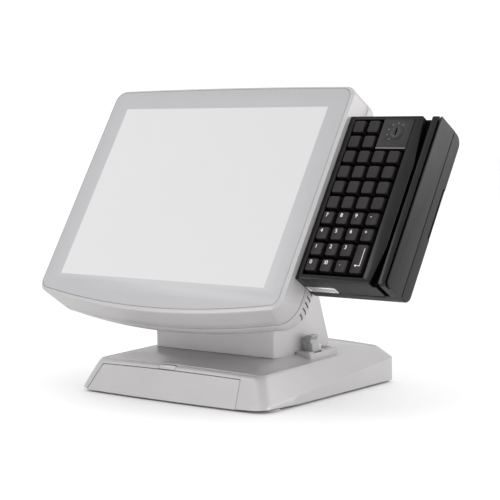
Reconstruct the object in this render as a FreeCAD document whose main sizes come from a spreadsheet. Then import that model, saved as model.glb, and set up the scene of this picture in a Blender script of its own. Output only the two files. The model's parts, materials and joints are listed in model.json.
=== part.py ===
"""Counter-top touch terminal: tilting screen, folding stand, programmable keypad with card reader.

Row frame: +Z up, +X to the right of someone facing the screen, +Y away from them.
The origin is on the counter, at the centre of the four bolt holes through the feet.
Head pieces are drawn in the head's own frame: x across the screen, y up it, z out of the glass.
"""
import FreeCAD, Part
import math
import os
import re
import Sketcher
from FreeCAD import Placement, Rotation, Vector

doc = FreeCAD.newDocument("touch_terminal")

# ---------------------------------------------------------------- sizes
SIZES = {
    # base
    "base_front_wide": 280.0, "flare": 6.0, "base_deep": 250.0, "shoulder": 16.0,
    "foot_high": 2.5, "rim_front_high": 36.0, "rim_rear_high": 39.5,
    "crease_front_high": 7.0, "crease_rear_high": 28.0, "crown_front": 3.0, "crown_rear": 4.0,
    "front_lean": 15.0, "base_wall": 3.0, "front_block": 18.0,
    "foot_inset_x": 10.0, "foot_inset_y": 25.0, "foot_radius": 9.5, "bolt_radius": 2.25,
    "plate_thick": 2.0, "bracket_thick": 3.0,
    "panel_margin_left": 12.0, "panel_margin_right": 41.0, "panel_drop": 0.5, "panel_deep": 16.0,
    "button_wide": 25.0, "button_high": 6.0, "button_x": -9.5, "button_drop": 7.5,
    "button_proud": 0.8,
    "cable_wide": 60.0, "cable_high": 14.0, "cable_low": 5.0,
    # seat of the neck, ledge and latch
    "seat_high": 46.0, "seat_margin": 3.5, "ledge_wide": 26.0, "ledge_high": 6.5,
    "ledge_front": -1.0, "ledge_long": 60.0,
    "latch_off": 12.5, "latch_rise": 1.5, "latch_round": 5.8, "latch_deep": 14.0, "latch_front": 10.0,
    "trunnion_radius": 2.0, "ear_thick": 4.6,
    # neck
    "neck_wide": 179.0, "neck_wall": 3.0, "neck_barrel": 26.0, "neck_rear_lean": 36.5,
    "neck_rear_round": 12.0, "neck_top_round": 16.0,
    "rear_cover_margin": 24.5, "rear_cover_low": 64.0, "rear_cover_high": 84.0,
    "tilt_y": -16.0, "tilt_z": 137.5, "tilt_shaft": 6.0,
    "fold_y": 62.3, "fold_round": 9.7, "fold_shaft": 3.0,
    "ear_off": 29.5, "ear_sweep": 4.0, "ear_radius": 7.0, "frame_off": 14.5, "shaft_off": 7.5,
    # head
    "screen_y": -76.8, "screen_z": 238.1, "screen_tilt": 56.92,
    "side_border": 17.5, "top_border": 17.0, "head_crown": 1.6, "low_border": 13.0, "head_bow": 14.0,
    "head_round": 14.0, "seam_round": 27.0, "head_drop": 5.0, "front_deep": 34.0, "head_deep": 60.0,
    "rear_inset": 14.0, "head_wall": 2.5, "rim_bevel": 3.5, "glass_border": 4.0, "glass_thick": 3.0,
    "lip_wide": 7.0, "lip_thick": 3.0,
    "panel_wide": 326.0, "panel_tall": 250.0, "panel_thick": 12.7,
    "chassis_margin": 2.0, "chassis_short": 5.0, "chassis_thick": 1.5,
    "board_wide": 230.0, "board_tall": 110.0, "board_thick": 1.6, "board_stand": 7.0, "sink_high": 15.0,
    "vent_long": 10.0, "vent_wide": 2.2, "vent_pitch": 7.2, "vent_first": -125.0,
    "arm_margin": 30.5, "arm_barrel": 21.0, "arm_thick": 28.0, "arm_wall": 3.0, "lug_off": 15.0,
    # keypad and card reader
    "pad_drop": 35.0, "pad_set_back": 9.5, "pad_front_deep": 33.5, "pad_rear_deep": 16.0, "pad_wall": 2.5,
    "slot_wide": 5.5, "slot_deep": 29.5, "rail_wide": 11.9, "frame_margin": 14.6, "frame_low": 6.0,
    "well_deep": 12.5, "key_room": 0.5, "key_room_low": 3.2, "key_room_right": 2.6,
    "key_pitch": 19.05, "key_first_x": 16.5, "key_first_y": 13.4, "key_base": 17.5,
    "key_top_wide": 14.2, "key_top_tall": 15.0, "key_high": 9.0, "key_proud": 1.5, "key_travel": 3.0,
    "stem_radius": 2.5, "stem_slot": 7.0,
    "lock_plate_wide": 38.4, "lock_plate_tall": 37.3, "lock_radius": 7.5, "lock_proud": 1.5,
    "reader_long": 11.0, "reader_high": 10.0, "reader_proud": 0.5,
    # clearances
    "gap": 0.3, "pin_gap": 0.06, "seam_gap": 0.4,
}

# Sizes that follow from the ones above.
WORKED_OUT = {
    "base_rear_wide": "(base_front_wide + 2 * flare)",
    "base_top_wide": "(base_front_wide - 2 * shoulder)",
    "foot_span_x": "(base_front_wide - 2 * foot_inset_x)",
    "foot_span_y": "(base_deep - 2 * foot_inset_y)",
    "panel_left": "(base_front_wide / 2 - panel_margin_left)",
    "panel_right": "(base_front_wide / 2 - panel_margin_right)",
    "panel_high": "(rim_front_high - panel_drop)",
    "button_low": "(rim_front_high - button_drop)",
    "latch_x": "(neck_wide / 2 + latch_off)",
    "rear_cover_wide": "(neck_wide - 2 * rear_cover_margin)",
    "ear_x": "(neck_wide / 2 - ear_off)",
    "frame_x": "(neck_wide / 2 - frame_off)",
    "shaft_reach": "(neck_wide / 2 - shaft_off)",
    "arm_wide": "(neck_wide - 2 * arm_margin)",
    "lug_x": "(arm_wide / 2 - lug_off)",
    "head_wide": "(panel_wide + 2 * side_border)",
    "head_top": "(panel_tall / 2 + top_border)",
    "head_bottom": "(panel_tall / 2 + low_border)",
    "chassis_wide": "(panel_wide + 2 * chassis_margin)",
    "chassis_tall": "(panel_tall - 2 * chassis_short)",
    "pad_top": "(head_top - pad_drop)",
}

sheet = doc.addObject("Spreadsheet::Sheet", "sizes")
for row, (word, number) in enumerate(SIZES.items(), start=1):
    sheet.set("A%d" % row, word)
    sheet.set("B%d" % row, str(number))
    sheet.setAlias("B%d" % row, word)
doc.recompute()


def bind(text):
    """The same expression with each size word read from the sheet."""
    def reading(hit):
        if hit[0] in WORKED_OUT:
            return bind(WORKED_OUT[hit[0]])
        return "sizes." + hit[0] if hit[0] in SIZES else hit[0]
    return re.sub(r"(?<![\w.])[a-z]\w*", reading, str(text))


def value(text):
    """The number that an expression of size words comes to."""
    return float(sheet.evalExpression(bind(text).replace("sizes.", "")))


# ---------------------------------------------------------------- places worked out from the sizes
PLATE_LOW = "(foot_high + 0.5)"
BRACKET_LOW = "(foot_high + 0.5 + plate_thick)"
FOLD_Z = "(seat_high + gap + fold_round)"
FACE_SLOPE = "(front_lean / rim_front_high)"
LATCH_Z = "(seat_high + ledge_high + latch_rise)"
NECK_TOP = "(tilt_z + neck_barrel)"
ARM_V = "((tilt_y - screen_y) * cos(screen_tilt) + (tilt_z - screen_z) * sin(screen_tilt))"
ARM_W = "((tilt_z - screen_z) * cos(screen_tilt) - (tilt_y - screen_y) * sin(screen_tilt))"
CHASSIS_FRONT = "(-(glass_thick + gap + panel_thick))"
PAD_LEFT = "(head_wide / 2)"
WELL_LEFT = "(head_wide / 2 + key_first_x - key_base / 2 - key_room)"
WELL_RIGHT = "(head_wide / 2 + key_first_x + 3 * key_pitch + key_base / 2 + key_room_right)"
WELL_TOP = "(pad_top - key_first_y + key_base / 2 + key_room)"
WELL_LOW = "(pad_top - key_first_y - 9 * key_pitch - key_base / 2 - key_room_low)"
PAD_LOW = "(pad_top - key_first_y - 9 * key_pitch - key_base / 2 - key_room_low - frame_low)"
SLOT_LEFT = "(%s + frame_margin)" % WELL_RIGHT
RAIL_LEFT = "(%s + slot_wide)" % SLOT_LEFT
PAD_RIGHT = "(%s + rail_wide)" % RAIL_LEFT
PAD_SEAM = "(-(pad_set_back + pad_front_deep))"
WELL_FLOOR = "(-(pad_set_back + well_deep))"
KEY_FOOT = "(-(pad_set_back - key_proud + key_high))"

parts = {}


def keep(name, thing):
    """List a finished sub-part under the name of its file."""
    thing.Label = name
    parts[name] = thing
    return thing


# ---------------------------------------------------------------- drawing helpers
def new_body(name, on_head=False):
    body = doc.addObject("PartDesign::Body", name)
    if on_head:
        body.Placement = Placement(Vector(0, 0, 0), Rotation(Vector(1, 0, 0), value("screen_tilt")))
        body.setExpression("Placement.Base.y", bind("screen_y"))
        body.setExpression("Placement.Base.z", bind("screen_z"))
    return body


def origin_plane(body, role):
    return next(item for item in body.Origin.OriginFeatures if item.Role == role + "_Plane")


def fix_point(sketch, geometry, corner, place):
    """Hold one sketch point at a pair of size expressions, or on the axis where one of them is nought."""
    for axis, expression in zip("XY", place):
        number = value(expression)
        if abs(number) < 1e-9:
            line = -2 if axis == "X" else -1
            sketch.addConstraint(Sketcher.Constraint("PointOnObject", geometry, corner, line))
            continue
        hold = sketch.addConstraint(
            Sketcher.Constraint("Distance" + axis, -1, 1, geometry, corner, number))
        sketch.setExpression("Constraints[%d]" % hold, bind(expression))


def arc_middle(begin, end, radius, inside):
    """The mid point of the short arc from begin to end that bulges away from a point inside."""
    chord = end - begin
    outward = Vector(chord.y, -chord.x, 0).normalize()
    half_way = (begin + end) * 0.5
    if outward.dot(half_way - inside) < 0:
        outward = -outward
    rise = radius - math.sqrt(radius ** 2 - chord.Length ** 2 / 4)
    return half_way + outward * rise


def outline(body, name, plane, corners, height="0"):
    """A closed sketch. A corner is a pair of expressions; a third is the radius of a bulging arc to it."""
    sketch = body.newObject("Sketcher::SketchObject", name)
    sketch.AttachmentSupport = (origin_plane(body, plane), "")
    sketch.MapMode = "FlatFace"
    if height != "0":
        sketch.setExpression("AttachmentOffset.Base.z", bind(height))
    points = [Vector(value(corner[0]), value(corner[1]), 0) for corner in corners]
    inside = sum(points, Vector()) * (1 / len(points))
    ends = []
    for index, corner in enumerate(corners):
        begin = points[index - 1]
        end = points[index]
        if len(corner) == 3:
            radius = value(corner[2])
            middle = arc_middle(begin, end, radius, inside)
            forward = (middle - begin).cross(end - middle).z > 0
            trio = (begin, middle, end) if forward else (end, middle, begin)
            curve = sketch.addGeometry(Part.Arc(*trio), False)
            ends.append((curve, 1, 2) if forward else (curve, 2, 1))
            hold = sketch.addConstraint(Sketcher.Constraint("Radius", curve, radius))
            sketch.setExpression("Constraints[%d]" % hold, bind(corner[2]))
        else:
            curve = sketch.addGeometry(Part.LineSegment(begin, end), False)
            ends.append((curve, 1, 2))
    for index, (curve, first, last) in enumerate(ends):
        following, its_first, its_last = ends[(index + 1) % len(ends)]
        sketch.addConstraint(Sketcher.Constraint("Coincident", curve, last, following, its_first))
        fix_point(sketch, curve, last, corners[index][:2])
    return sketch


def extrude(body, kind, name, sketch, length, both_ways=False, back=False):
    feature = body.newObject("PartDesign::" + kind, name)
    feature.Profile = sketch
    feature.setExpression("Length", bind(length))
    feature.Midplane = both_ways
    feature.Reversed = back
    return feature


def loft(body, kind, name, sections, ruled=True):
    feature = body.newObject("PartDesign::" + kind, name)
    feature.Profile = sections[0]
    feature.Sections = sections[1:]
    feature.Ruled = ruled
    return feature


def block(body, name, x, y, z, cut=False):
    """A box feature from pairs of expressions, added to the body or cut from it."""
    feature = body.newObject("PartDesign::" + ("Subtractive" if cut else "Additive") + "Box", name)
    for side, along, (low, high) in (("Length", "x", x), ("Width", "y", y), ("Height", "z", z)):
        feature.setExpression(side, bind("(%s) - (%s)" % (high, low)))
        feature.setExpression("Placement.Base." + along, bind(low))
    return feature


TURNS = {"x": Rotation(Vector(0, 1, 0), 90), "y": Rotation(Vector(1, 0, 0), -90), "z": Rotation()}


def rod(body, name, along, start, radius, length, cut=False):
    """A cylinder feature that starts at three expressions and runs along a positive axis."""
    feature = body.newObject("PartDesign::" + ("Subtractive" if cut else "Additive") + "Cylinder", name)
    feature.Placement = Placement(Vector(), TURNS[along])
    for axis, expression in zip("xyz", start):
        feature.setExpression("Placement.Base." + axis, bind(expression))
    feature.setExpression("Radius", bind(radius))
    feature.setExpression("Height", bind(length))
    return feature


def crown_radius(chord, rise):
    """Radius of a shallow arc from its chord and its rise."""
    return "(((%s) * (%s) / 4 + %s * %s) / (2 * %s))" % (chord, chord, rise, rise, rise)


def soften(body, name, radius, chosen):
    """Round the edges of the body's last feature that chosen(edge) picks."""
    doc.recompute()
    base = body.Tip
    edges = ["Edge%d" % (number + 1) for number, edge in enumerate(base.Shape.Edges) if chosen(edge)]
    feature = body.newObject("PartDesign::Fillet", name)
    feature.Base = (base, edges)
    feature.setExpression("Radius", bind(radius))
    return feature


def runs_along(edge, axis):
    """True for a straight edge that lies along one of the frame's axes."""
    if len(edge.Vertexes) != 2:
        return False
    step = edge.Vertexes[1].Point - edge.Vertexes[0].Point
    return step.Length > 1e-6 and abs(getattr(step, axis)) > 0.999 * step.Length


def centre(edge):
    return edge.BoundBox.Center


def tool_box(name, x, y, z):
    """A plain box of the document, for sharing one shell between two sub-parts."""
    box = doc.addObject("Part::Box", name)
    for side, along, (low, high) in (("Length", "x", x), ("Width", "y", y), ("Height", "z", z)):
        box.setExpression(side, bind("(%s) - (%s)" % (high, low)))
        box.setExpression("Placement.Base." + along, bind(low))
    return box


def split_shell(shell, inner, inner_box, outer, outer_box):
    """Give one sub-part the shell inside a box and the other the shell outside a slightly larger box."""
    inside = doc.addObject("Part::Common", inner)
    inside.Base = shell
    inside.Tool = tool_box(inner + "_region", *inner_box)
    outside = doc.addObject("Part::Cut", outer)
    outside.Base = shell
    outside.Tool = tool_box(outer + "_region", *outer_box)
    keep(inner, inside)
    keep(outer, outside)


# ---------------------------------------------------------------- base
def base_section(body, name, height, wide, crease, rim, crown, inset="0", floor="foot_high"):
    """One cross-section of the base: upright skirt, sloping shoulder, arched top."""
    half = "(%s / 2 - %s)" % (wide, inset)
    top = "(base_top_wide / 2 - %s)" % inset
    crease_z = "(foot_high + %s - %s * 0.5)" % (crease, inset)
    rim_z = "(foot_high + %s - %s)" % (rim, inset)
    corners = [
        ("-" + half, floor), ("-" + half, crease_z), ("-" + top, rim_z),
        (top, rim_z, crown_radius("2 * " + top, crown)),
        (half, crease_z), (half, floor)]
    return outline(body, name, "XZ", corners, height)


def make_base():
    shell = new_body("base_form")
    front = base_section(shell, "base_front_section", "base_deep / 2",
                         "base_front_wide", "crease_front_high", "rim_front_high", "crown_front")
    rear = base_section(shell, "base_rear_section", "-base_deep / 2",
                        "base_rear_wide", "crease_rear_high", "rim_rear_high", "crown_rear")
    loft(shell, "AdditiveLoft", "base_solid", [front, rear])
    face = outline(shell, "base_face_lean", "YZ", [
        ("-base_deep / 2 - 30", "foot_high - 10"),
        ("-base_deep / 2 - 10 * " + FACE_SLOPE, "foot_high - 10"),
        ("-base_deep / 2 + (rim_front_high + 20) * " + FACE_SLOPE, "foot_high + rim_front_high + 20"),
        ("-base_deep / 2 - 30", "foot_high + rim_front_high + 20")])
    extrude(shell, "Pocket", "base_face", face, "base_rear_wide * 2", both_ways=True)
    hollow_front = base_section(
        shell, "hollow_front_section", "base_deep / 2 - front_block", "base_front_wide",
        "crease_front_high", "rim_front_high", "crown_front", "base_wall", "foot_high - 1")
    hollow_rear = base_section(
        shell, "hollow_rear_section", "-base_deep / 2 + base_wall", "base_rear_wide",
        "crease_rear_high", "rim_rear_high", "crown_rear", "base_wall", "foot_high - 1")
    loft(shell, "SubtractiveLoft", "base_hollow", [hollow_front, hollow_rear])
    seat_half = "(neck_wide / 2 + seat_margin)"
    block(shell, "neck_seat", ("-" + seat_half, seat_half),
          ("tilt_y - neck_barrel - seat_margin", "fold_y + fold_round + seat_margin"),
          ("foot_high + rim_front_high", "seat_high"))
    block(shell, "latch_ledge", ("neck_wide / 2 + gap", "neck_wide / 2 + ledge_wide"),
          ("ledge_front", "ledge_front + ledge_long"),
          ("foot_high + rim_front_high", "seat_high + ledge_high"))
    block(shell, "latch_ear", ("latch_x - latch_round", "latch_x + latch_round"),
          ("latch_front + latch_deep + gap", "latch_front + latch_deep + gap + ear_thick"),
          ("seat_high + 1", LATCH_Z + " + trunnion_radius * 2"))
    rod(shell, "latch_recess", "y", ("latch_x", "latch_front - gap", LATCH_Z),
        "latch_round + gap * 1.5", "latch_deep + gap * 2", cut=True)
    rod(shell, "trunnion_hole", "y", ("latch_x", "latch_front + latch_deep", LATCH_Z),
        "trunnion_radius + pin_gap", "ear_thick + gap * 2", cut=True)
    for side, sign in (("left", "-"), ("right", "")):
        low = "-ear_x - bracket_thick - gap * 2" if sign else "ear_x - gap * 2"
        high = "-ear_x + gap * 2" if sign else "ear_x + bracket_thick + gap * 2"
        block(shell, "hinge_slot_" + side, (low, high),
              ("fold_y - ear_radius - gap * 2", "fold_y + ear_radius + gap * 2"),
              ("foot_high + rim_front_high / 2", "seat_high + 1"), cut=True)
    block(shell, "cable_way", ("-40", "40"), ("tilt_y - 8", "tilt_y + 42"),
          ("foot_high + rim_front_high / 2", "seat_high + 1"), cut=True)
    block(shell, "cable_exit", ("-cable_wide / 2", "cable_wide / 2"),
          ("base_deep / 2 - base_wall * 3", "base_deep / 2 + 5"),
          ("foot_high + cable_low", "foot_high + cable_low + cable_high"), cut=True)
    button_low = "foot_high + button_low"
    block(shell, "button_hole", ("button_x - button_wide / 2 - gap", "button_x + button_wide / 2 + gap"),
          ("-base_deep / 2 - 5", "-base_deep / 2 + front_block + 2"),
          (button_low + " - gap", button_low + " + button_high + gap"), cut=True)
    panel_back = "-base_deep / 2 + panel_deep"
    split_shell(
        shell,
        "base_front_panel", (("-panel_left", "panel_right"), ("-base_deep", panel_back),
                             ("foot_high - 1", "foot_high + panel_high")),
        "base_cover", (("-panel_left - seam_gap", "panel_right + seam_gap"), ("-base_deep", panel_back),
                       ("foot_high - 2", "foot_high + panel_high + seam_gap")))

    button = keep("power_button", new_body("power_button"))
    near = "-base_deep / 2 - button_proud + button_low * " + FACE_SLOPE
    profile = outline(button, "button_profile", "YZ", [
        (near, button_low),
        (near + " + button_high * " + FACE_SLOPE, button_low + " + button_high"),
        ("-base_deep / 2 + panel_deep - 1", button_low + " + button_high"),
        ("-base_deep / 2 + panel_deep - 1", button_low)],
        "button_x")
    extrude(button, "Pad", "button_cap", profile, "button_wide", both_ways=True)
    soften(button, "button_rounding", "1.2",
           lambda edge: runs_along(edge, "y") is False and centre(edge).y < value(near) + 3)

    plate = keep("base_bottom_plate", new_body("base_bottom_plate"))
    half = "(base_front_wide / 2 - base_wall - gap * 3)"
    block(plate, "bottom_sheet", ("-" + half, half),
          ("-base_deep / 2 + front_block + gap", "base_deep / 2 - base_wall - gap"),
          (PLATE_LOW, PLATE_LOW + " + plate_thick"))
    feet = doc.addObject("Part::Compound", "rubber_feet")
    keep("rubber_feet", feet)
    pads = []
    for number, (across, along) in enumerate((("-", "-"), ("", "-"), ("-", ""), ("", ""))):
        x = across + "foot_span_x / 2"
        y = along + "foot_span_y / 2"
        rod(plate, "bolt_hole_%d" % number, "z", (x, y, "0"), "bolt_radius", "20", cut=True)
        foot = new_body("foot_%d" % number)
        rod(foot, "foot_pad_%d" % number, "z", (x, y, "0"), "foot_radius", "foot_high")
        rod(foot, "foot_boss_%d" % number, "z", (x, y, "0"), "foot_radius * 0.4", PLATE_LOW)
        rod(foot, "foot_hole_%d" % number, "z", (x, y, "-1"), "bolt_radius", "20", cut=True)
        pads.append(foot)
    feet.Links = pads

    bracket = keep("fold_hinge_bracket", new_body("fold_hinge_bracket"))
    block(bracket, "bracket_foot", ("-ear_x - bracket_thick", "ear_x + bracket_thick"),
          ("fold_y - 40", "fold_y + 12"), (BRACKET_LOW, BRACKET_LOW + " + bracket_thick"))
    for side, low in (("left", "-ear_x - bracket_thick"), ("right", "ear_x")):
        high = low + " + bracket_thick"
        block(bracket, "ear_web_" + side, (low, high), ("fold_y - ear_radius", "fold_y + ear_radius"),
              (BRACKET_LOW, FOLD_Z))
        rod(bracket, "ear_eye_" + side, "x", (low, "fold_y", FOLD_Z), "ear_radius", "bracket_thick")
    rod(bracket, "fold_bore", "x", ("-ear_x * 2", "fold_y", FOLD_Z),
        "fold_shaft + pin_gap", "ear_x * 4", cut=True)


# ---------------------------------------------------------------- fold latch
def make_latch():
    latch = keep("fold_latch", new_body("fold_latch"))
    rise = LATCH_Z
    lever = outline(latch, "latch_side", "XZ", [
        ("latch_x - 5.2", rise + " + 2.5"), ("latch_x - 8.6", rise + " + 9"),
        ("latch_x - 4.4", rise + " + 13.6"), ("latch_x + 4.4", rise + " + 13.2"),
        ("latch_x + 2.9", rise + " + 9"), ("latch_x + 2.2", rise + " + 6.2"),
        ("latch_x + 5.2", rise + " + 2.5")], "-latch_front")
    extrude(latch, "Pad", "latch_lever", lever, "latch_deep", back=True)
    rod(latch, "latch_hub", "y", ("latch_x", "latch_front", rise), "latch_round", "latch_deep")
    rod(latch, "latch_trunnion", "y", ("latch_x", "latch_front + latch_deep - 1", rise),
        "trunnion_radius", "ear_thick + 1 + gap")


# ---------------------------------------------------------------- neck
def make_neck():
    shell = new_body("neck_form")
    front = "(tilt_y - neck_barrel)"
    rear_top = "(fold_y + fold_round - neck_rear_lean)"
    side = outline(shell, "neck_side", "YZ", [
        (front, "seat_high + gap"), (front, "tilt_z"),
        ("tilt_y", NECK_TOP, "neck_barrel"), (rear_top, NECK_TOP), ("fold_y + fold_round", FOLD_Z),
        ("fold_y", "seat_high + gap", "fold_round")])
    extrude(shell, "Pad", "neck_solid", side, "neck_wide", both_ways=True)
    soften(shell, "neck_top_rounding", "neck_top_round",
           lambda edge: runs_along(edge, "x") and abs(centre(edge).y - value(rear_top)) < 0.5
           and centre(edge).z > value("tilt_z"))
    soften(shell, "neck_rear_rounding", "neck_rear_round",
           lambda edge: not runs_along(edge, "x") and centre(edge).y > value(rear_top) + 5
           and centre(edge).z > value(FOLD_Z) + 8)
    wall = "neck_wall"
    inner_round = "(fold_round - neck_wall)"
    hollow = outline(shell, "neck_hollow_side", "YZ", [
        (front + " + " + wall, "seat_high - 5"), (front + " + " + wall, "tilt_z"),
        ("tilt_y", NECK_TOP + " - " + wall, "neck_barrel - neck_wall"),
        (rear_top + " - neck_top_round / 2", NECK_TOP + " - " + wall),
        (rear_top + " + 2", NECK_TOP + " - neck_top_round"),
        ("fold_y + " + inner_round, FOLD_Z),
        ("fold_y", FOLD_Z + " - " + inner_round, inner_round),
        ("fold_y - 12", FOLD_Z + " - " + inner_round), ("fold_y - 12", "seat_high - 5")])
    extrude(shell, "Pocket", "neck_hollow", hollow, "neck_wide - neck_wall * 4", both_ways=True)
    swing = "(arm_wide / 2 + 1.5)"
    rod(shell, "arm_room", "x", ("-" + swing, "tilt_y", "tilt_z"), "arm_barrel + 2", swing + " * 2", cut=True)
    block(shell, "arm_mouth", ("-" + swing, swing), (front + " - 5", "tilt_y + 16"),
          ("tilt_z - 16", NECK_TOP + " + 5"), cut=True)
    for name, low in (("left", "-ear_x - bracket_thick - gap * 2"), ("right", "ear_x - gap * 2")):
        rod(shell, "ear_room_" + name, "x", (low, "fold_y", FOLD_Z),
            "fold_round + ear_sweep", "bracket_thick + gap * 4", cut=True)
    rear = ("0", "fold_y + 40")
    half = "rear_cover_wide / 2"
    split_shell(
        shell,
        "neck_rear_cover", (("-" + half, half), rear, ("rear_cover_low", "rear_cover_low + rear_cover_high")),
        "neck_shell", (("-%s - seam_gap" % half, half + " + seam_gap"), rear,
                       ("rear_cover_low", "rear_cover_low + rear_cover_high + seam_gap")))

    frame = keep("neck_frame", new_body("neck_frame"))
    lug = "(fold_round - neck_wall - gap * 4)"
    for name, low in (("left", "-frame_x - bracket_thick"), ("right", "frame_x")):
        plate = outline(frame, "frame_side_" + name, "YZ", [
            (front + " + neck_wall + 3", "seat_high + 8"), (front + " + neck_wall + 3", "tilt_z"),
            ("tilt_y", NECK_TOP + " - neck_wall - 5"), (rear_top + " - 14", NECK_TOP + " - neck_wall - 5"),
            ("fold_y", FOLD_Z + " + " + lug), ("fold_y", FOLD_Z + " - " + lug)], low)
        extrude(frame, "Pad", "frame_cheek_" + name, plate, "bracket_thick")
        rod(frame, "fold_lug_" + name, "x", (low, "fold_y", FOLD_Z), lug, "bracket_thick")
        rod(frame, "tilt_bore_" + name, "x", (low + " - 1", "tilt_y", "tilt_z"),
            "tilt_shaft + pin_gap", "bracket_thick + 2", cut=True)
        rod(frame, "fold_bore_" + name, "x", (low + " - 1", "fold_y", FOLD_Z),
            "fold_shaft + pin_gap", "bracket_thick + 2", cut=True)
        if name == "left":
            block(frame, "frame_bridge", ("-frame_x - 1", "frame_x + 1"),
                  (front + " + neck_wall + 3", front + " + neck_wall + 3 + bracket_thick"),
                  ("seat_high + 16", "tilt_z - arm_barrel - 6"))

    shafts = doc.addObject("Part::Compound", "hinge_shafts")
    keep("hinge_shafts", shafts)
    pins = []
    for name, place, radius in (("tilt", ("tilt_y", "tilt_z"), "tilt_shaft"),
                                ("fold", ("fold_y", FOLD_Z), "fold_shaft")):
        pin = new_body(name + "_pin")
        rod(pin, name + "_pin_bar", "x", ("-shaft_reach",) + place, radius, "shaft_reach * 2")
        pins.append(pin)
    shafts.Links = pins


# ---------------------------------------------------------------- head
def head_outline(body, name, height, inset="0", drop="0", rounding="head_round"):
    """The head's outline: upright sides, slightly crowned top, bowed chin, rounded corners."""
    half = "(head_wide / 2 - (%s))" % inset
    top = "(head_top - (%s))" % inset
    low = "(-head_bottom - %s + (%s))" % (drop, inset)
    chin = crown_radius("2 * (%s - %s)" % (half, rounding), "head_bow")
    crest = crown_radius("2 * (%s - head_round)" % half, "head_crown")
    return outline(body, name, "XY", [
        ("-" + half, "%s + %s" % (low, rounding), rounding),
        ("-" + half, top + " - head_round"),
        ("-%s + head_round" % half, top, "head_round"),
        (half + " - head_round", top, crest),
        (half, top + " - head_round", "head_round"),
        (half, "%s + %s" % (low, rounding)),
        ("%s - %s" % (half, rounding), low, rounding),
        ("-%s + %s" % (half, rounding), low, chin)], height)


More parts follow.
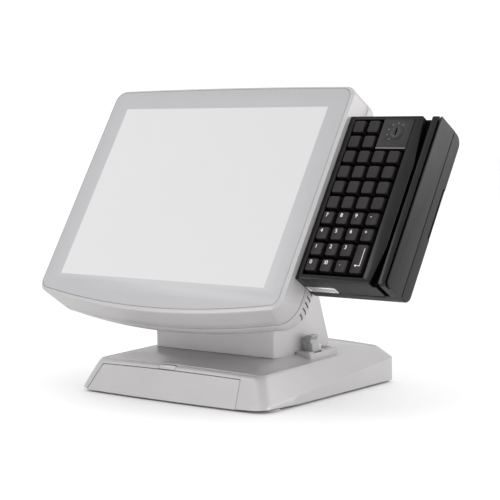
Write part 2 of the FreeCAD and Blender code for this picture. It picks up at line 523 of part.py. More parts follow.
def make_head():
    bezel = keep("front_bezel", new_body("front_bezel", on_head=True))
    rim = head_outline(bezel, "rim_outline", "0", "rim_bevel")
    shoulder = head_outline(bezel, "shoulder_outline", "-rim_bevel")
    seam = head_outline(bezel, "seam_outline", "-front_deep", "0", "head_drop", "seam_round")
    loft(bezel, "AdditiveLoft", "bezel_solid", [rim, shoulder, seam])
    recess = head_outline(bezel, "glass_recess_outline", "0", "glass_border - gap")
    extrude(bezel, "Pocket", "glass_recess", recess, "glass_thick")
    window = head_outline(bezel, "window_outline", "0", "glass_border + lip_wide")
    extrude(bezel, "Pocket", "bezel_window", window, "front_deep + 5")
    cavity = head_outline(bezel, "cavity_outline", "-front_deep - 1", "head_wall", "0", "head_round")
    extrude(bezel, "Pocket", "bezel_cavity", cavity, "front_deep + 1 - glass_thick - lip_thick", back=True)

    glass = keep("touch_glass", new_body("touch_glass", on_head=True))
    sheet_outline = head_outline(glass, "glass_outline", "0", "glass_border")
    extrude(glass, "Pad", "glass_sheet", sheet_outline, "glass_thick", back=True)

    panel = keep("lcd_panel", new_body("lcd_panel", on_head=True))
    block(panel, "panel_module", ("-panel_wide / 2", "panel_wide / 2"), ("-panel_tall / 2", "panel_tall / 2"),
          (CHASSIS_FRONT, "-glass_thick - gap"))

    chassis = keep("chassis_plate", new_body("chassis_plate", on_head=True))
    back = CHASSIS_FRONT + " - chassis_thick"
    block(chassis, "chassis_sheet", ("-chassis_wide / 2", "chassis_wide / 2"),
          ("-chassis_tall / 2", "chassis_tall / 2"), (back, CHASSIS_FRONT))
    for number, (across, up) in enumerate((("-", "-"), ("", "-"), ("-", "+"), ("", "+"))):
        rod(chassis, "bracket_post_%d" % number, "z",
            (across + "lug_x", ARM_V + up + " arm_thick * 0.85", "-head_deep + head_wall + bracket_thick"),
            "4", back + " + head_deep - head_wall - bracket_thick + 0.5")

    board = keep("mainboard", new_body("mainboard", on_head=True))
    board_front = back + " - board_stand"
    block(board, "board_sheet", ("-board_wide / 2", "board_wide / 2"), ("0", "board_tall"),
          (board_front + " - board_thick", board_front))
    block(board, "heat_sink", ("-40", "30"), ("25", "95"),
          (board_front + " - board_thick - sink_high", board_front + " - board_thick"))
    corners = (("-", "8"), ("", "8"), ("-", "board_tall - 8"), ("", "board_tall - 8"))
    for number, (across, up) in enumerate(corners):
        rod(board, "stand_off_%d" % number, "z",
            (across + "(board_wide / 2 - 8)", up, board_front + " - 0.5"), "3", "board_stand + 0.5")

    housing = keep("rear_housing", new_body("rear_housing", on_head=True))
    outer = head_outline(housing, "housing_seam", "-front_deep", "0", "head_drop", "seam_round")
    back_face = head_outline(housing, "housing_back", "-head_deep", "rear_inset", "0", "seam_round")
    loft(housing, "AdditiveLoft", "housing_solid", [outer, back_face])
    inner = head_outline(housing, "hollow_seam", "-front_deep + 0.01", "head_wall", "0", "seam_round")
    inner_back = head_outline(housing, "hollow_back", "-head_deep + head_wall", "rear_inset + head_wall",
                              "0", "seam_round")
    loft(housing, "SubtractiveLoft", "housing_hollow", [inner, inner_back])
    arm_side = ("%s - arm_thick / 2" % ARM_V, "%s + arm_thick / 2" % ARM_V)
    block(housing, "arm_web", ("-arm_wide / 2", "arm_wide / 2"), arm_side,
          (ARM_W, "-head_deep + head_wall / 2"))
    rod(housing, "arm_knuckle", "x", ("-arm_wide / 2", ARM_V, ARM_W), "arm_barrel", "arm_wide")
    inside = "(arm_wide / 2 - arm_wall)"
    block(housing, "arm_web_hollow", ("-" + inside, inside),
          (arm_side[0] + " + arm_wall", arm_side[1] + " - arm_wall"),
          (ARM_W, "-head_deep + head_wall + 1"), cut=True)
    rod(housing, "arm_knuckle_hollow", "x", ("-" + inside, ARM_V, ARM_W), "arm_barrel - arm_wall",
        inside + " * 2", cut=True)
    rod(housing, "shaft_pass", "x", ("-arm_wide / 2 - 1", ARM_V, ARM_W), "tilt_shaft + gap * 2",
        "arm_wide + 2", cut=True)
    for side, sign in (("left", -1), ("right", 1)):
        for number in range(8):
            slot = block(housing, "vent_%s_%d" % (side, number), ("-4", "4"), ("0", "vent_wide"),
                         ("0", "vent_long"), cut=True)
            slot.setExpression("Placement.Base.x", bind("%d * (head_wide / 2 - 4) - 4" % sign))
            slot.setExpression("Placement.Base.y", bind("vent_first + %d * vent_pitch" % number))
            slot.setExpression("Placement.Base.z", bind("-front_deep - 5 - vent_long"))

    bracket = keep("tilt_hinge_bracket", new_body("tilt_hinge_bracket", on_head=True))
    block(bracket, "hinge_plate", ("-lug_x - 6", "lug_x + 6"),
          (ARM_V + " - arm_thick", ARM_V + " + arm_thick"),
          ("-head_deep + head_wall", "-head_deep + head_wall + bracket_thick"))
    for side, low in (("left", "-lug_x - bracket_thick"), ("right", "lug_x")):
        block(bracket, "lug_web_" + side, (low, low + " + bracket_thick"),
              (ARM_V + " - arm_thick / 2 + arm_wall + gap", ARM_V + " + arm_thick / 2 - arm_wall - gap"),
              (ARM_W, "-head_deep + head_wall + 1"))
        rod(bracket, "lug_eye_" + side, "x", (low, ARM_V, ARM_W), "tilt_shaft * 2", "bracket_thick")
        rod(bracket, "lug_bore_" + side, "x", (low + " - 1", ARM_V, ARM_W), "tilt_shaft + pin_gap",
            "bracket_thick + 2", cut=True)


# ---------------------------------------------------------------- keypad and card reader
def make_keypad():
    tall = (PAD_LOW, "pad_top")
    inner_tall = (PAD_LOW + " + pad_wall", "pad_top - pad_wall")

    frame = keep("keypad_front_frame", new_body("keypad_front_frame", on_head=True))
    block(frame, "frame_solid", (PAD_LEFT, SLOT_LEFT), tall, (PAD_SEAM, "-pad_set_back"))
    soften(frame, "frame_edges", "2", lambda edge: abs(centre(edge).z + value("pad_set_back")) < 1e-3)
    block(frame, "frame_cavity", (PAD_LEFT + " + pad_wall", SLOT_LEFT + " - pad_wall"), inner_tall,
          (PAD_SEAM + " - 1", WELL_FLOOR + " - 2"), cut=True)
    block(frame, "key_well", (WELL_LEFT, WELL_RIGHT), (WELL_LOW, WELL_TOP),
          (WELL_FLOOR, "-pad_set_back + 1"), cut=True)
    for column in range(4):
        middle = "(%s + key_first_x + %d * key_pitch)" % (PAD_LEFT, column)
        block(frame, "stem_way_%d" % column, (middle + " - stem_slot / 2", middle + " + stem_slot / 2"),
              (WELL_LOW + " + 4", WELL_TOP + " - 4"), (WELL_FLOOR + " - 3", WELL_FLOOR + " + 1"), cut=True)

    case = keep("keypad_rear_case", new_body("keypad_rear_case", on_head=True))
    floor = PAD_SEAM + " - pad_rear_deep"
    block(case, "case_solid", (PAD_LEFT, PAD_RIGHT), tall, (floor, PAD_SEAM))
    soften(case, "case_edges", "4", lambda edge: centre(edge).z < value(floor) + 0.01
           and centre(edge).x > value(PAD_LEFT) + 1)
    block(case, "case_cavity", (PAD_LEFT + " + pad_wall", SLOT_LEFT + " - pad_wall"), inner_tall,
          (floor + " + pad_wall", PAD_SEAM + " + 1"), cut=True)
    block(case, "slot_floor", (SLOT_LEFT, RAIL_LEFT), tall,
          (PAD_SEAM + " - 1", "-pad_set_back - slot_deep"))
    block(case, "edge_recess", (PAD_RIGHT + " - 2", PAD_RIGHT + " + 1"), ("-18", "42"),
          (floor + " + 4.5", floor + " + 9.5"), cut=True)

    board = keep("keypad_circuit_board", new_body("keypad_circuit_board", on_head=True))
    mat_top = WELL_FLOOR + " - 2 - key_travel"
    block(board, "board_and_mat", (PAD_LEFT + " + pad_wall + gap", SLOT_LEFT + " - pad_wall - gap"),
          (inner_tall[0] + " + gap", inner_tall[1] + " - gap"), (mat_top + " - 6", mat_top))

    rail = keep("card_reader_rail", new_body("card_reader_rail", on_head=True))
    block(rail, "rail_solid", (RAIL_LEFT, PAD_RIGHT), tall, (PAD_SEAM, "-pad_set_back - 1"))
    soften(rail, "rail_edges", "2", lambda edge: centre(edge).z > value("-pad_set_back - 1.1")
           and centre(edge).x > value(PAD_RIGHT) - 1)
    block(rail, "rail_groove", (PAD_RIGHT + " - 3.6", PAD_RIGHT + " - 1.6"),
          (PAD_LOW + " - 1", "pad_top + 1"), ("-pad_set_back - 3", "-pad_set_back + 1"), cut=True)
    reader_low = "(-pad_set_back - slot_deep / 2 - reader_high / 2)"
    block(rail, "reader_pocket", (RAIL_LEFT + " - 1", RAIL_LEFT + " + 4"),
          ("-reader_long / 2 - gap", "reader_long / 2 + gap"),
          (reader_low + " - gap", reader_low + " + reader_high + gap"), cut=True)

    reader = keep("card_reader_head", new_body("card_reader_head", on_head=True))
    block(reader, "reader_core", (RAIL_LEFT + " - reader_proud", RAIL_LEFT + " + 4"),
          ("-reader_long / 2", "reader_long / 2"), (reader_low, reader_low + " + reader_high"))

    plate = keep("key_lock_plate", new_body("key_lock_plate", on_head=True))
    plate_left = WELL_RIGHT + " - gap - lock_plate_wide"
    plate_low = WELL_TOP + " - gap - lock_plate_tall"
    lock_x = plate_left + " + lock_plate_wide / 2 + 1"
    lock_y = plate_low + " + lock_plate_tall / 2 + 2.5"
    block(plate, "plate_solid", (plate_left, WELL_RIGHT + " - gap"), (plate_low, WELL_TOP + " - gap"),
          (WELL_FLOOR, "-pad_set_back + 0.5"))
    rod(plate, "lock_bore", "z", (lock_x, lock_y, WELL_FLOOR + " + 1"), "lock_radius", "20", cut=True)

    rotor = keep("key_switch", new_body("key_switch", on_head=True))
    rod(rotor, "switch_barrel", "z", (lock_x, lock_y, WELL_FLOOR + " + 1 + gap"), "lock_radius - pin_gap",
        "well_deep - 1 - gap + lock_proud")
    block(rotor, "key_slit", (lock_x + " - 1", lock_x + " + 1"), (lock_y + " - 4.5", lock_y + " + 4.5"),
          ("-pad_set_back + lock_proud - 5", "-pad_set_back + lock_proud + 1"), cut=True)


def make_key(name, column, row, rows_tall=1):
    """One key: a cap that narrows to its top, on a round stem. Rows and columns count from the top left."""
    key = keep(name, new_body(name, on_head=True))
    x = "(%s + key_first_x + %d * key_pitch)" % (PAD_LEFT, column)
    y_top = "(pad_top - key_first_y - %d * key_pitch)" % row
    stretch = "%d * key_pitch" % (rows_tall - 1)

    def cap_outline(part, wide, tall, height):
        right = "%s + %s / 2" % (x, wide)
        left = "%s - %s / 2" % (x, wide)
        upper = "%s + %s / 2" % (y_top, tall)
        lower = "%s - %s / 2 - %s" % (y_top, tall, stretch)
        return outline(key, "%s_%s" % (name, part), "XY",
                       [(left, lower), (right, lower), (right, upper), (left, upper)], height)

    foot = cap_outline("foot", "key_base", "key_base", KEY_FOOT)
    crest = cap_outline("crest", "key_top_wide", "key_top_tall", KEY_FOOT + " + key_high")
    loft(key, "AdditiveLoft", name + "_cap", [foot, crest])
    rod(key, name + "_stem", "z", (x, y_top + " - %s / 2" % stretch, WELL_FLOOR + " - 1.6"),
        "stem_radius", KEY_FOOT + " - (%s - 1.6) + 1" % WELL_FLOOR)


NUMBER_ROWS = {
    6: ("seven", "eight", "nine", "minus"),
    7: ("four", "five", "six", "plus"),
    8: ("one", "two", "three"),
    9: ("zero", "double_zero", "point"),
}


def make_keys():
    for row in range(10):
        if row in NUMBER_ROWS:
            for column, word in enumerate(NUMBER_ROWS[row]):
                make_key("key_" + word, column, row)
        else:
            for column in range(2 if row < 2 else 4):
                make_key("key_row%d_col%d" % (row + 1, column + 1), column, row)
    make_key("key_enter", 3, 8, rows_tall=2)


make_base()
make_latch()
make_neck()
make_head()
make_keypad()
make_keys()
doc.recompute()

# ---------------------------------------------------------------- check and write
for thing in doc.Objects:
    if any(word in ("Invalid", "Error") for word in thing.State):
        raise RuntimeError("%s did not compute: %s" % (thing.Label, thing.State))
os.makedirs("parts", exist_ok=True)
for name, thing in parts.items():
    shape = thing.Shape
    if shape.isNull() or not shape.isValid() or not shape.Solids:
        raise RuntimeError("%s has no valid solid" % name)
    shape.exportStep("parts/%s.step" % name)
print("%d sub-parts written" % len(parts))
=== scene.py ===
"""Countertop touch terminal: satin silver casings, flush touch glass, black keypad with card reader."""
import json
import math

import bmesh
import bpy
from mathutils import Matrix, Vector
from mathutils.geometry import tessellate_polygon


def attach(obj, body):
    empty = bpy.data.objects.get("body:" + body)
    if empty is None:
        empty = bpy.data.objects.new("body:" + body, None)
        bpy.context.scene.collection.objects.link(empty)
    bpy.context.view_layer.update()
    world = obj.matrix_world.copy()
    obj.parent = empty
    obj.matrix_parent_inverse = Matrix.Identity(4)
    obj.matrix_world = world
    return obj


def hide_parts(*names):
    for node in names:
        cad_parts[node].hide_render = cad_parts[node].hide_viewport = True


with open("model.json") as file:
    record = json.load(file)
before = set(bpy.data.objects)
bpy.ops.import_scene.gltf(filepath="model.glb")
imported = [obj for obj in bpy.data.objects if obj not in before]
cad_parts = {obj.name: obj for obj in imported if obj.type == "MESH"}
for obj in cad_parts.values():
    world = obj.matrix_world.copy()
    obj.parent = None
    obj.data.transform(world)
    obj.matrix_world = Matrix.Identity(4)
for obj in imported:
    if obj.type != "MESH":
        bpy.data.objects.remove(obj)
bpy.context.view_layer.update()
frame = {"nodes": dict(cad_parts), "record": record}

MM = 0.001
BODY_OF = {node: body for body, nodes in frame["record"]["behaviour"]["bodies"].items() for node in nodes}
SLOT_OF = {part["node"]: part["material_slot"] for part in frame["record"]["subparts"]}
JOINT = {joint["name"]: joint for joint in frame["record"]["behaviour"]["joints"]}


# ---- the head's own frame, in millimetres
def head_frame():
    """Matrix from the head's frame (across, up the screen, out of the glass; mm) to the row frame (m)."""
    outward = -Vector(JOINT["key_enter_press"]["axis"]).normalized()
    across = Vector((1, 0, 0))
    upward = outward.cross(across)
    turn = Matrix((across, upward, outward)).transposed()
    panel = [turn.transposed() @ vertex.co for vertex in frame["nodes"]["lcd_panel"].data.vertices]
    middle = [(min(p[i] for p in panel) + max(p[i] for p in panel)) / 2 for i in range(3)]
    glass = [turn.transposed() @ vertex.co for vertex in frame["nodes"]["touch_glass"].data.vertices]
    origin = turn @ Vector((middle[0], middle[1], max(p[2] for p in glass)))
    return Matrix.Translation(origin) @ turn.to_4x4() @ Matrix.Scale(MM, 4)


HEAD = head_frame()
WORLD = Matrix.Scale(MM, 4)


def clamp(number):
    """A number held between 0 and 1."""
    return min(max(number, 0), 1)


def frame_of(origin, x_axis, y_axis, within=WORLD):
    """Matrix of a drawing plane: its origin and two axes, given in another frame's millimetres."""
    x_axis = Vector(x_axis).normalized()
    y_axis = Vector(y_axis).normalized()
    turn = Matrix((x_axis, y_axis, x_axis.cross(y_axis))).transposed().to_4x4()
    return within @ Matrix.Translation(origin) @ turn


# drawing plane whose x is up the screen, y out of the glass, and z across the screen
ACROSS_HEAD = frame_of((0, 0, 0), (0, 1, 0), (0, 0, 1), HEAD)


def behind(level):
    """Drawing plane on the back of the head at a level, seen from behind."""
    return frame_of((0, 0, level), (-1, 0, 0), (0, 1, 0), HEAD)


def local_box(node, matrix=HEAD):
    """Lowest and highest corners of a CAD node, in millimetres of the given frame."""
    back = matrix.inverted()
    points = [back @ vertex.co for vertex in frame["nodes"][node].data.vertices]
    low = Vector([min(p[i] for p in points) for i in range(3)])
    high = Vector([max(p[i] for p in points) for i in range(3)])
    return low, high


# ---- mesh building
SMOOTH_ANGLE = 32
WELD_DISTANCE = 1e-6


def weld(work):
    """Join points that coincide and turn every face outward."""
    bmesh.ops.remove_doubles(work, verts=work.verts, dist=WELD_DISTANCE)
    bmesh.ops.recalc_face_normals(work, faces=work.faces)


def finish_mesh(name, mesh, matrix, material, body, replaces=(), slot=None, smooth_angle=SMOOTH_ANGLE):
    """Place a mesh drawn in millimetres, set its shading, material and body, and hide the CAD parts it
    replaces.
    """
    mesh.name = name
    mesh.transform(matrix)
    work = bmesh.new()
    work.from_mesh(mesh)
    weld(work)
    limit = math.radians(smooth_angle)
    for edge in work.edges:
        edge.smooth = len(edge.link_faces) == 2 and edge.calc_face_angle(0) <= limit
    for face in work.faces:
        face.smooth = True
    work.to_mesh(mesh)
    work.free()
    piece = bpy.data.objects.new(name, mesh)
    bpy.context.scene.collection.objects.link(piece)
    for entry in material if isinstance(material, (list, tuple)) else [material]:
        mesh.materials.append(entry)
    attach(piece, body)
    if replaces:
        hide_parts(*replaces)
        slot = slot or SLOT_OF[replaces[0]]
    return piece


def loft_mesh(rings, cap_low=True, cap_high=True):
    """A mesh through rings of 3-D points; every ring has the same number of points."""
    count = len(rings[0])
    points = [point for ring in rings for point in ring]
    faces = []
    for level in range(len(rings) - 1):
        for index in range(count):
            following = (index + 1) % count
            faces.append((level * count + index, level * count + following,
                          (level + 1) * count + following, (level + 1) * count + index))
    if cap_low:
        faces.append(tuple(reversed(range(count))))
    if cap_high:
        start = (len(rings) - 1) * count
        faces.append(tuple(range(start, start + count)))
    mesh = bpy.data.meshes.new("part")
    mesh.from_pydata([tuple(point) for point in points], [], faces)
    return mesh


def offset_outline(points, distance):
    """Move each side of a closed outline to its left by a distance, with mitred corners."""
    moved = []
    for index, point in enumerate(points):
        before = (point - points[index - 1]).normalized()
        after = (points[(index + 1) % len(points)] - point).normalized()
        left_before = Vector((-before.y, before.x))
        left_after = Vector((-after.y, after.x))
        moved.append(point + (left_before + left_after) * (distance / (1 + left_before.dot(left_after))))
    return moved


def signed_area(points):
    return sum(points[i - 1].cross(points[i]) for i in range(len(points))) / 2


def rounded(corners, radii, steps=6):
    """Outline of a polygon with rounded corners; a radius of 0 keeps a corner sharp."""
    outline = []
    for index, corner in enumerate(corners):
        radius = radii[index] if isinstance(radii, (list, tuple)) else radii
        corner = Vector(corner)
        if radius <= 0:
            outline.append(corner)
            continue
        to_before = (Vector(corners[index - 1]) - corner).normalized()
        to_after = (Vector(corners[(index + 1) % len(corners)]) - corner).normalized()
        half = to_before.angle(to_after) / 2
        reach = radius / math.tan(half)
        centre = corner + (to_before + to_after).normalized() * (radius / math.sin(half))
        begin = corner + to_before * reach - centre
        end = corner + to_after * reach - centre
        sweep = begin.angle_signed(end)
        for step in range(steps + 1):
            turn = Matrix.Rotation(-sweep * step / steps, 2)
            outline.append(centre + turn @ begin)
    return outline


def rectangle(low_x, high_x, low_y, high_y, radius=0.0, steps=6):
    return rounded([(low_x, low_y), (high_x, low_y), (high_x, high_y), (low_x, high_y)], radius, steps)


def circle(x, y, radius, count=40):
    return [Vector((x + radius * math.cos(2 * math.pi * i / count),
                    y + radius * math.sin(2 * math.pi * i / count))) for i in range(count)]


def arc(centre, radius_x, radius_y, first, last, steps):
    """Points along an arc from the first angle to the last, in radians."""
    angles = [first + (last - first) * step / steps for step in range(steps + 1)]
    return [Vector((centre[0] + radius_x * math.cos(angle), centre[1] + radius_y * math.sin(angle)))
            for angle in angles]


def plate_mesh(outlines, low, high, bevel=0.5, bevel_low=0.0, steps=3):
    """A flat plate from an outline and its holes, between two heights, with rounded edges."""
    points = []
    faces = []
    low_rings = []
    high_rings = []
    for number, outline in enumerate(outlines):
        outline = [Vector(point) for point in outline]
        if (signed_area(outline) > 0) != (number == 0):
            outline.reverse()
        levels = []
        for step in range(steps + 1 if bevel_low else 1):
            angle = math.pi / 2 * step / steps
            levels.append((bevel_low * (1 - math.sin(angle)), low + bevel_low * (1 - math.cos(angle))))
        for step in range(steps + 1 if bevel else 1):
            angle = math.pi / 2 * step / steps
            levels.append((bevel * (1 - math.cos(angle)), high - bevel * (1 - math.sin(angle))))
        start = len(points)
        count = len(outline)
        for inset, height in levels:
            ring = offset_outline(outline, inset) if inset else outline
            points += [(point.x, point.y, height) for point in ring]
        for level in range(len(levels) - 1):
            for index in range(count):
                following = (index + 1) % count
                base = start + level * count
                faces.append((base + index, base + following, base + count + following, base + count + index))
        low_rings.append(list(range(start, start + count)))
        high_rings.append(list(range(len(points) - count, len(points))))
    for rings, flip in ((low_rings, True), (high_rings, False)):
        flat = [index for ring in rings for index in ring]
        loops = [[Vector(points[index]) for index in ring] for ring in rings]
        for trio in tessellate_polygon(loops):
            face = tuple(flat[corner] for corner in trio)
            faces.append(tuple(reversed(face)) if flip else face)
    mesh = bpy.data.meshes.new("part")
    mesh.from_pydata(points, [], faces)
    return mesh


def cut(piece, tools):
    """Cut a piece with meshes from tool_mesh, then drop them."""
    for mesh in tools:
        tool = bpy.data.objects.new("tool", mesh)
        bpy.context.scene.collection.objects.link(tool)
        modifier = piece.modifiers.new("cut", "BOOLEAN")
        modifier.operation = "DIFFERENCE"
        modifier.solver = "EXACT"
        modifier.object = tool
        bpy.context.view_layer.update()
        result = bpy.data.meshes.new_from_object(piece.evaluated_get(bpy.context.evaluated_depsgraph_get()))
        piece.modifiers.clear()
        piece.data = result
        bpy.data.objects.remove(tool)
    work = bmesh.new()
    work.from_mesh(piece.data)
    limit = math.radians(SMOOTH_ANGLE)
    for edge in work.edges:
        edge.smooth = len(edge.link_faces) == 2 and edge.calc_face_angle(0) <= limit
    work.to_mesh(piece.data)
    work.free()


def tool_mesh(mesh, matrix):
    """A cutting tool in its final place, welded and with its normals outward."""
    mesh.transform(matrix)
    work = bmesh.new()
    work.from_mesh(mesh)
    weld(work)
    work.to_mesh(mesh)
    work.free()
    return mesh


def block_mesh(x, y, z, bevel=0.0):
    """A block between two values on each axis, given as pairs."""
    return plate_mesh([rectangle(x[0], x[1], y[0], y[1], bevel)], z[0], z[1], bevel, bevel)


# ---- materials
def add_node(material, kind, inputs=(), **settings):
    """Add a node, set its properties and default inputs, and return it."""
    node = material.node_tree.nodes.new(kind)
    for key, entry in settings.items():
        setattr(node, key, entry)
    for key, entry in dict(inputs).items():
        node.inputs[key].default_value = entry
    return node


def surface(name, colour, roughness, grain, depth, rough, tint, mottle=30.0, metallic=0.0, specular=0.5,
            coat=0.0, coat_roughness=0.1):
    """Moulded or painted surface: fine grain in the bump, soft mottling in colour and roughness."""
    material = bpy.data.materials.new(name)
    material.use_nodes = True
    tree = material.node_tree
    shader = tree.nodes["Principled BSDF"]
    for socket, setting in (("Base Color", (*colour, 1)), ("Roughness", roughness), ("Metallic", metallic),
                            ("Specular IOR Level", specular), ("Coat Weight", coat),
                            ("Coat Roughness", coat_roughness)):
        shader.inputs[socket].default_value = setting
    place = add_node(material, "ShaderNodeTexCoord")
    fine = add_node(material, "ShaderNodeTexNoise", {"Scale": grain, "Detail": 3.0, "Roughness": 0.6})
    broad = add_node(material, "ShaderNodeTexNoise", {"Scale": mottle, "Detail": 4.0, "Roughness": 0.55})
    spread = add_node(material, "ShaderNodeMapRange", {"To Min": rough[0], "To Max": rough[1]})
    bump = add_node(material, "ShaderNodeBump", {"Strength": 1.0, "Distance": depth})
    ramp = add_node(material, "ShaderNodeValToRGB")
    for stop, position, shade in zip(ramp.color_ramp.elements, (0.5, 1.0), (-tint, tint)):
        stop.position = position
        stop.color = (*[clamp(channel + shade) for channel in colour], 1)
    blend = add_node(material, "ShaderNodeMath", operation="MULTIPLY_ADD")
    blend.inputs[1].default_value = 0.5
    link = tree.links.new
    link(place.outputs["Object"], fine.inputs["Vector"])
    link(place.outputs["Object"], broad.inputs["Vector"])
    link(fine.outputs["Fac"], blend.inputs[0])
    link(broad.outputs["Fac"], spread.inputs["Value"])
    link(broad.outputs["Fac"], blend.inputs[2])
    link(blend.outputs[0], ramp.inputs["Fac"])
    link(ramp.outputs["Color"], shader.inputs["Base Color"])
    link(spread.outputs["Result"], shader.inputs["Roughness"])
    link(fine.outputs["Fac"], bump.inputs["Height"])
    link(bump.outputs["Normal"], shader.inputs["Normal"])
    return material


SILVER = surface("silver_paint", (0.43, 0.42, 0.422), 0.42, grain=2600, depth=0.00003, rough=(0.36, 0.46),
    tint=0.012, metallic=0.3, coat=0.12, coat_roughness=0.35)
SILVER_BAND = surface("silver_band", (0.40, 0.39, 0.39), 0.40, grain=2600, depth=0.00003, rough=(0.34, 0.44),
    tint=0.012, metallic=0.4, coat=0.1, coat_roughness=0.35)
GLASS_BORDER = surface("glass_border", (0.38, 0.376, 0.39), 0.4, grain=1800, depth=0.00001,
    rough=(0.36, 0.44), tint=0.008, metallic=0.15, coat=0.15, coat_roughness=0.2)
SCREEN = surface("screen_surface", (0.57, 0.57, 0.575), 0.55, grain=4200, depth=0.000012, rough=(0.5, 0.6),
    tint=0.006, mottle=6.0, specular=0.3, coat=0.08, coat_roughness=0.3)
BLACK = surface("black_casing", (0.007, 0.0055, 0.0062), 0.34, grain=3200, depth=0.00005, rough=(0.32, 0.44),
    tint=0.0015, specular=0.26)
BLACK_GLOSS = surface("black_gloss", (0.005, 0.0048, 0.006), 0.15, grain=1500, depth=0.00001,
    rough=(0.13, 0.18), tint=0.002, specular=0.2, coat=0.06)
# Near-black with little sheen: painted shade on the floors and inner walls of recesses (key well, card slot,
# grip groove, keyhole).
BLACK_RECESS_SHADE = surface("black_recess_shade", (0.0015, 0.0012, 0.0014), 0.7, grain=3200, depth=0.00005,
    rough=(0.5, 0.7), tint=0.001, specular=0.05)
KEYCAP = surface("keycap", (0.014, 0.0108, 0.0117), 0.4, grain=3600, depth=0.00004, rough=(0.34, 0.46),
    tint=0.004, mottle=60.0, specular=0.22)
# Key sides: the keycap black made darker, painted shade on the sides of every key.
KEYCAP_SIDE_SHADE = surface("key_side", (0.004, 0.0033, 0.0036), 0.55, grain=3600, depth=0.00004, rough=(0.5, 0.62),
    tint=0.001, mottle=60.0, specular=0.15)
LEGEND = surface("legend_print", (0.80, 0.79, 0.80), 0.5, grain=2600, depth=0.00002, rough=(0.45, 0.55),
    tint=0.02)
TICKS = surface("tick_print", (0.28, 0.27, 0.28), 0.5, grain=2600, depth=0.00002, rough=(0.45, 0.55),
    tint=0.02)
STEEL = surface("zinc_steel", (0.56, 0.56, 0.57), 0.35, grain=900, depth=0.00002, rough=(0.28, 0.45),
    tint=0.04, mottle=90.0, metallic=1.0)
BRIGHT = surface("bright_trim", (0.75, 0.75, 0.76), 0.25, grain=900, depth=0.00001, rough=(0.2, 0.3),
    tint=0.03, metallic=1.0)
BARREL = surface("lock_barrel", (0.05, 0.048, 0.05), 0.35, grain=1200, depth=0.00002, rough=(0.28, 0.42),
    tint=0.01, metallic=0.8)
RUBBER = surface("foot_rubber", (0.36, 0.355, 0.35), 0.75, grain=2200, depth=0.00006, rough=(0.68, 0.82),
    tint=0.02)
LATCH_GREY = surface("latch_grey", (0.30, 0.30, 0.305), 0.42, grain=2600, depth=0.00003, rough=(0.38, 0.48),
    tint=0.012, metallic=0.2)
BOARD_GREEN = surface("solder_mask", (0.02, 0.12, 0.05), 0.4, grain=600, depth=0.00005, rough=(0.35, 0.5),
    tint=0.01, mottle=120.0)
MODULE_GREY = surface("module_case", (0.45, 0.45, 0.46), 0.4, grain=900, depth=0.00002, rough=(0.35, 0.45),
    tint=0.02, metallic=0.5)
# Black of the socket cores; under the service cover's vent holes it stands for painted shade.
PORT_AND_VENT_SHADE_BLACK = surface("port_and_vent_shade_black", (0.01, 0.01, 0.01), 0.5, grain=2600, depth=0.00003, rough=(0.45, 0.6),
    tint=0.002)
LOCK_FACE = surface("lock_face", (0.012, 0.010, 0.011), 0.38, grain=3200, depth=0.00004, rough=(0.32, 0.44),
    tint=0.003, specular=0.35)
LENS = surface("button_lens", (0.55, 0.56, 0.58), 0.22, grain=1800, depth=0.00001, rough=(0.18, 0.28),
    tint=0.01, coat=0.6)

for node, material in {
        "base_bottom_plate": STEEL, "fold_hinge_bracket": STEEL, "neck_frame": STEEL, "hinge_shafts": STEEL,
        "chassis_plate": STEEL, "tilt_hinge_bracket": STEEL, "lcd_panel": MODULE_GREY,
        "mainboard": BOARD_GREEN, "keypad_circuit_board": BOARD_GREEN, "card_reader_head": BRIGHT}.items():
    carried = frame["nodes"][node].data
    carried.materials.clear()
    carried.materials.append(material)


# ---- head casing
GLASS_LOW, GLASS_HIGH = local_box("touch_glass")
BEZEL_LOW, BEZEL_HIGH = local_box("front_bezel")
HEAD_HALF = BEZEL_HIGH.x
GLASS_INSET = HEAD_HALF - GLASS_HIGH.x
CROWN = 1.6
BOW = 14.0
DROP = 5.0
HEAD_TOP = BEZEL_HIGH.y - CROWN
HEAD_BOTTOM = BEZEL_LOW.y + BOW + DROP
SEAM_W = BEZEL_LOW.z
FRONT_ROUND = 14.0
SEAM_ROUND = 27.0
HEAD_BACK = SEAM_W - 26.0
ACTIVE_X, ACTIVE_Y = 152.05, 114.05
VENTS, VENT_FIRST, VENT_PITCH, VENT_LEAN = 8, -125.0, 7.2, 14


def head_ring(inset, height, drop=0.0, low_round=FRONT_ROUND):
    """One ring of the head: upright sides, crowned top, bowed chin, rounded corners."""
    half = HEAD_HALF - inset
    top = HEAD_TOP - inset
    low = HEAD_BOTTOM - drop + inset
    top_round = max(FRONT_ROUND - inset * 0.5, 3)
    low_round = max(low_round - inset * 0.5, 3)
    ring = []

    def corner(x, y, radius, start):
        first = math.radians(start)
        ring.extend(Vector((p.x, p.y, height)) for p in
                    arc((x, y), radius, radius, first, first + math.pi / 2, 12))

    def bowed(left, right, level, rise, count):
        for step in range(1, count):
            share = step / count
            x = left + (right - left) * share
            ring.append(Vector((x, level + rise * 4 * share * (1 - share), height)))

    corner(half - low_round, low + low_round, low_round, -90)
    corner(half - top_round, top - top_round, top_round, 0)
    bowed(half - top_round, -half + top_round, top, CROWN, 24)
    corner(-half + top_round, top - top_round, top_round, 90)
    corner(-half + low_round, low + low_round, low_round, 180)
    bowed(-half + low_round, half - low_round, low, -BOW, 40)
    return ring


def side_share(height):
    """How far down the front casing's side a height is, from 0 at the glass to 1 at the seam."""
    return clamp(height / SEAM_W)


def casing_ring(inset, height):
    share = side_share(height)
    return head_ring(inset, height, DROP * share, FRONT_ROUND + (SEAM_ROUND - FRONT_ROUND) * share)


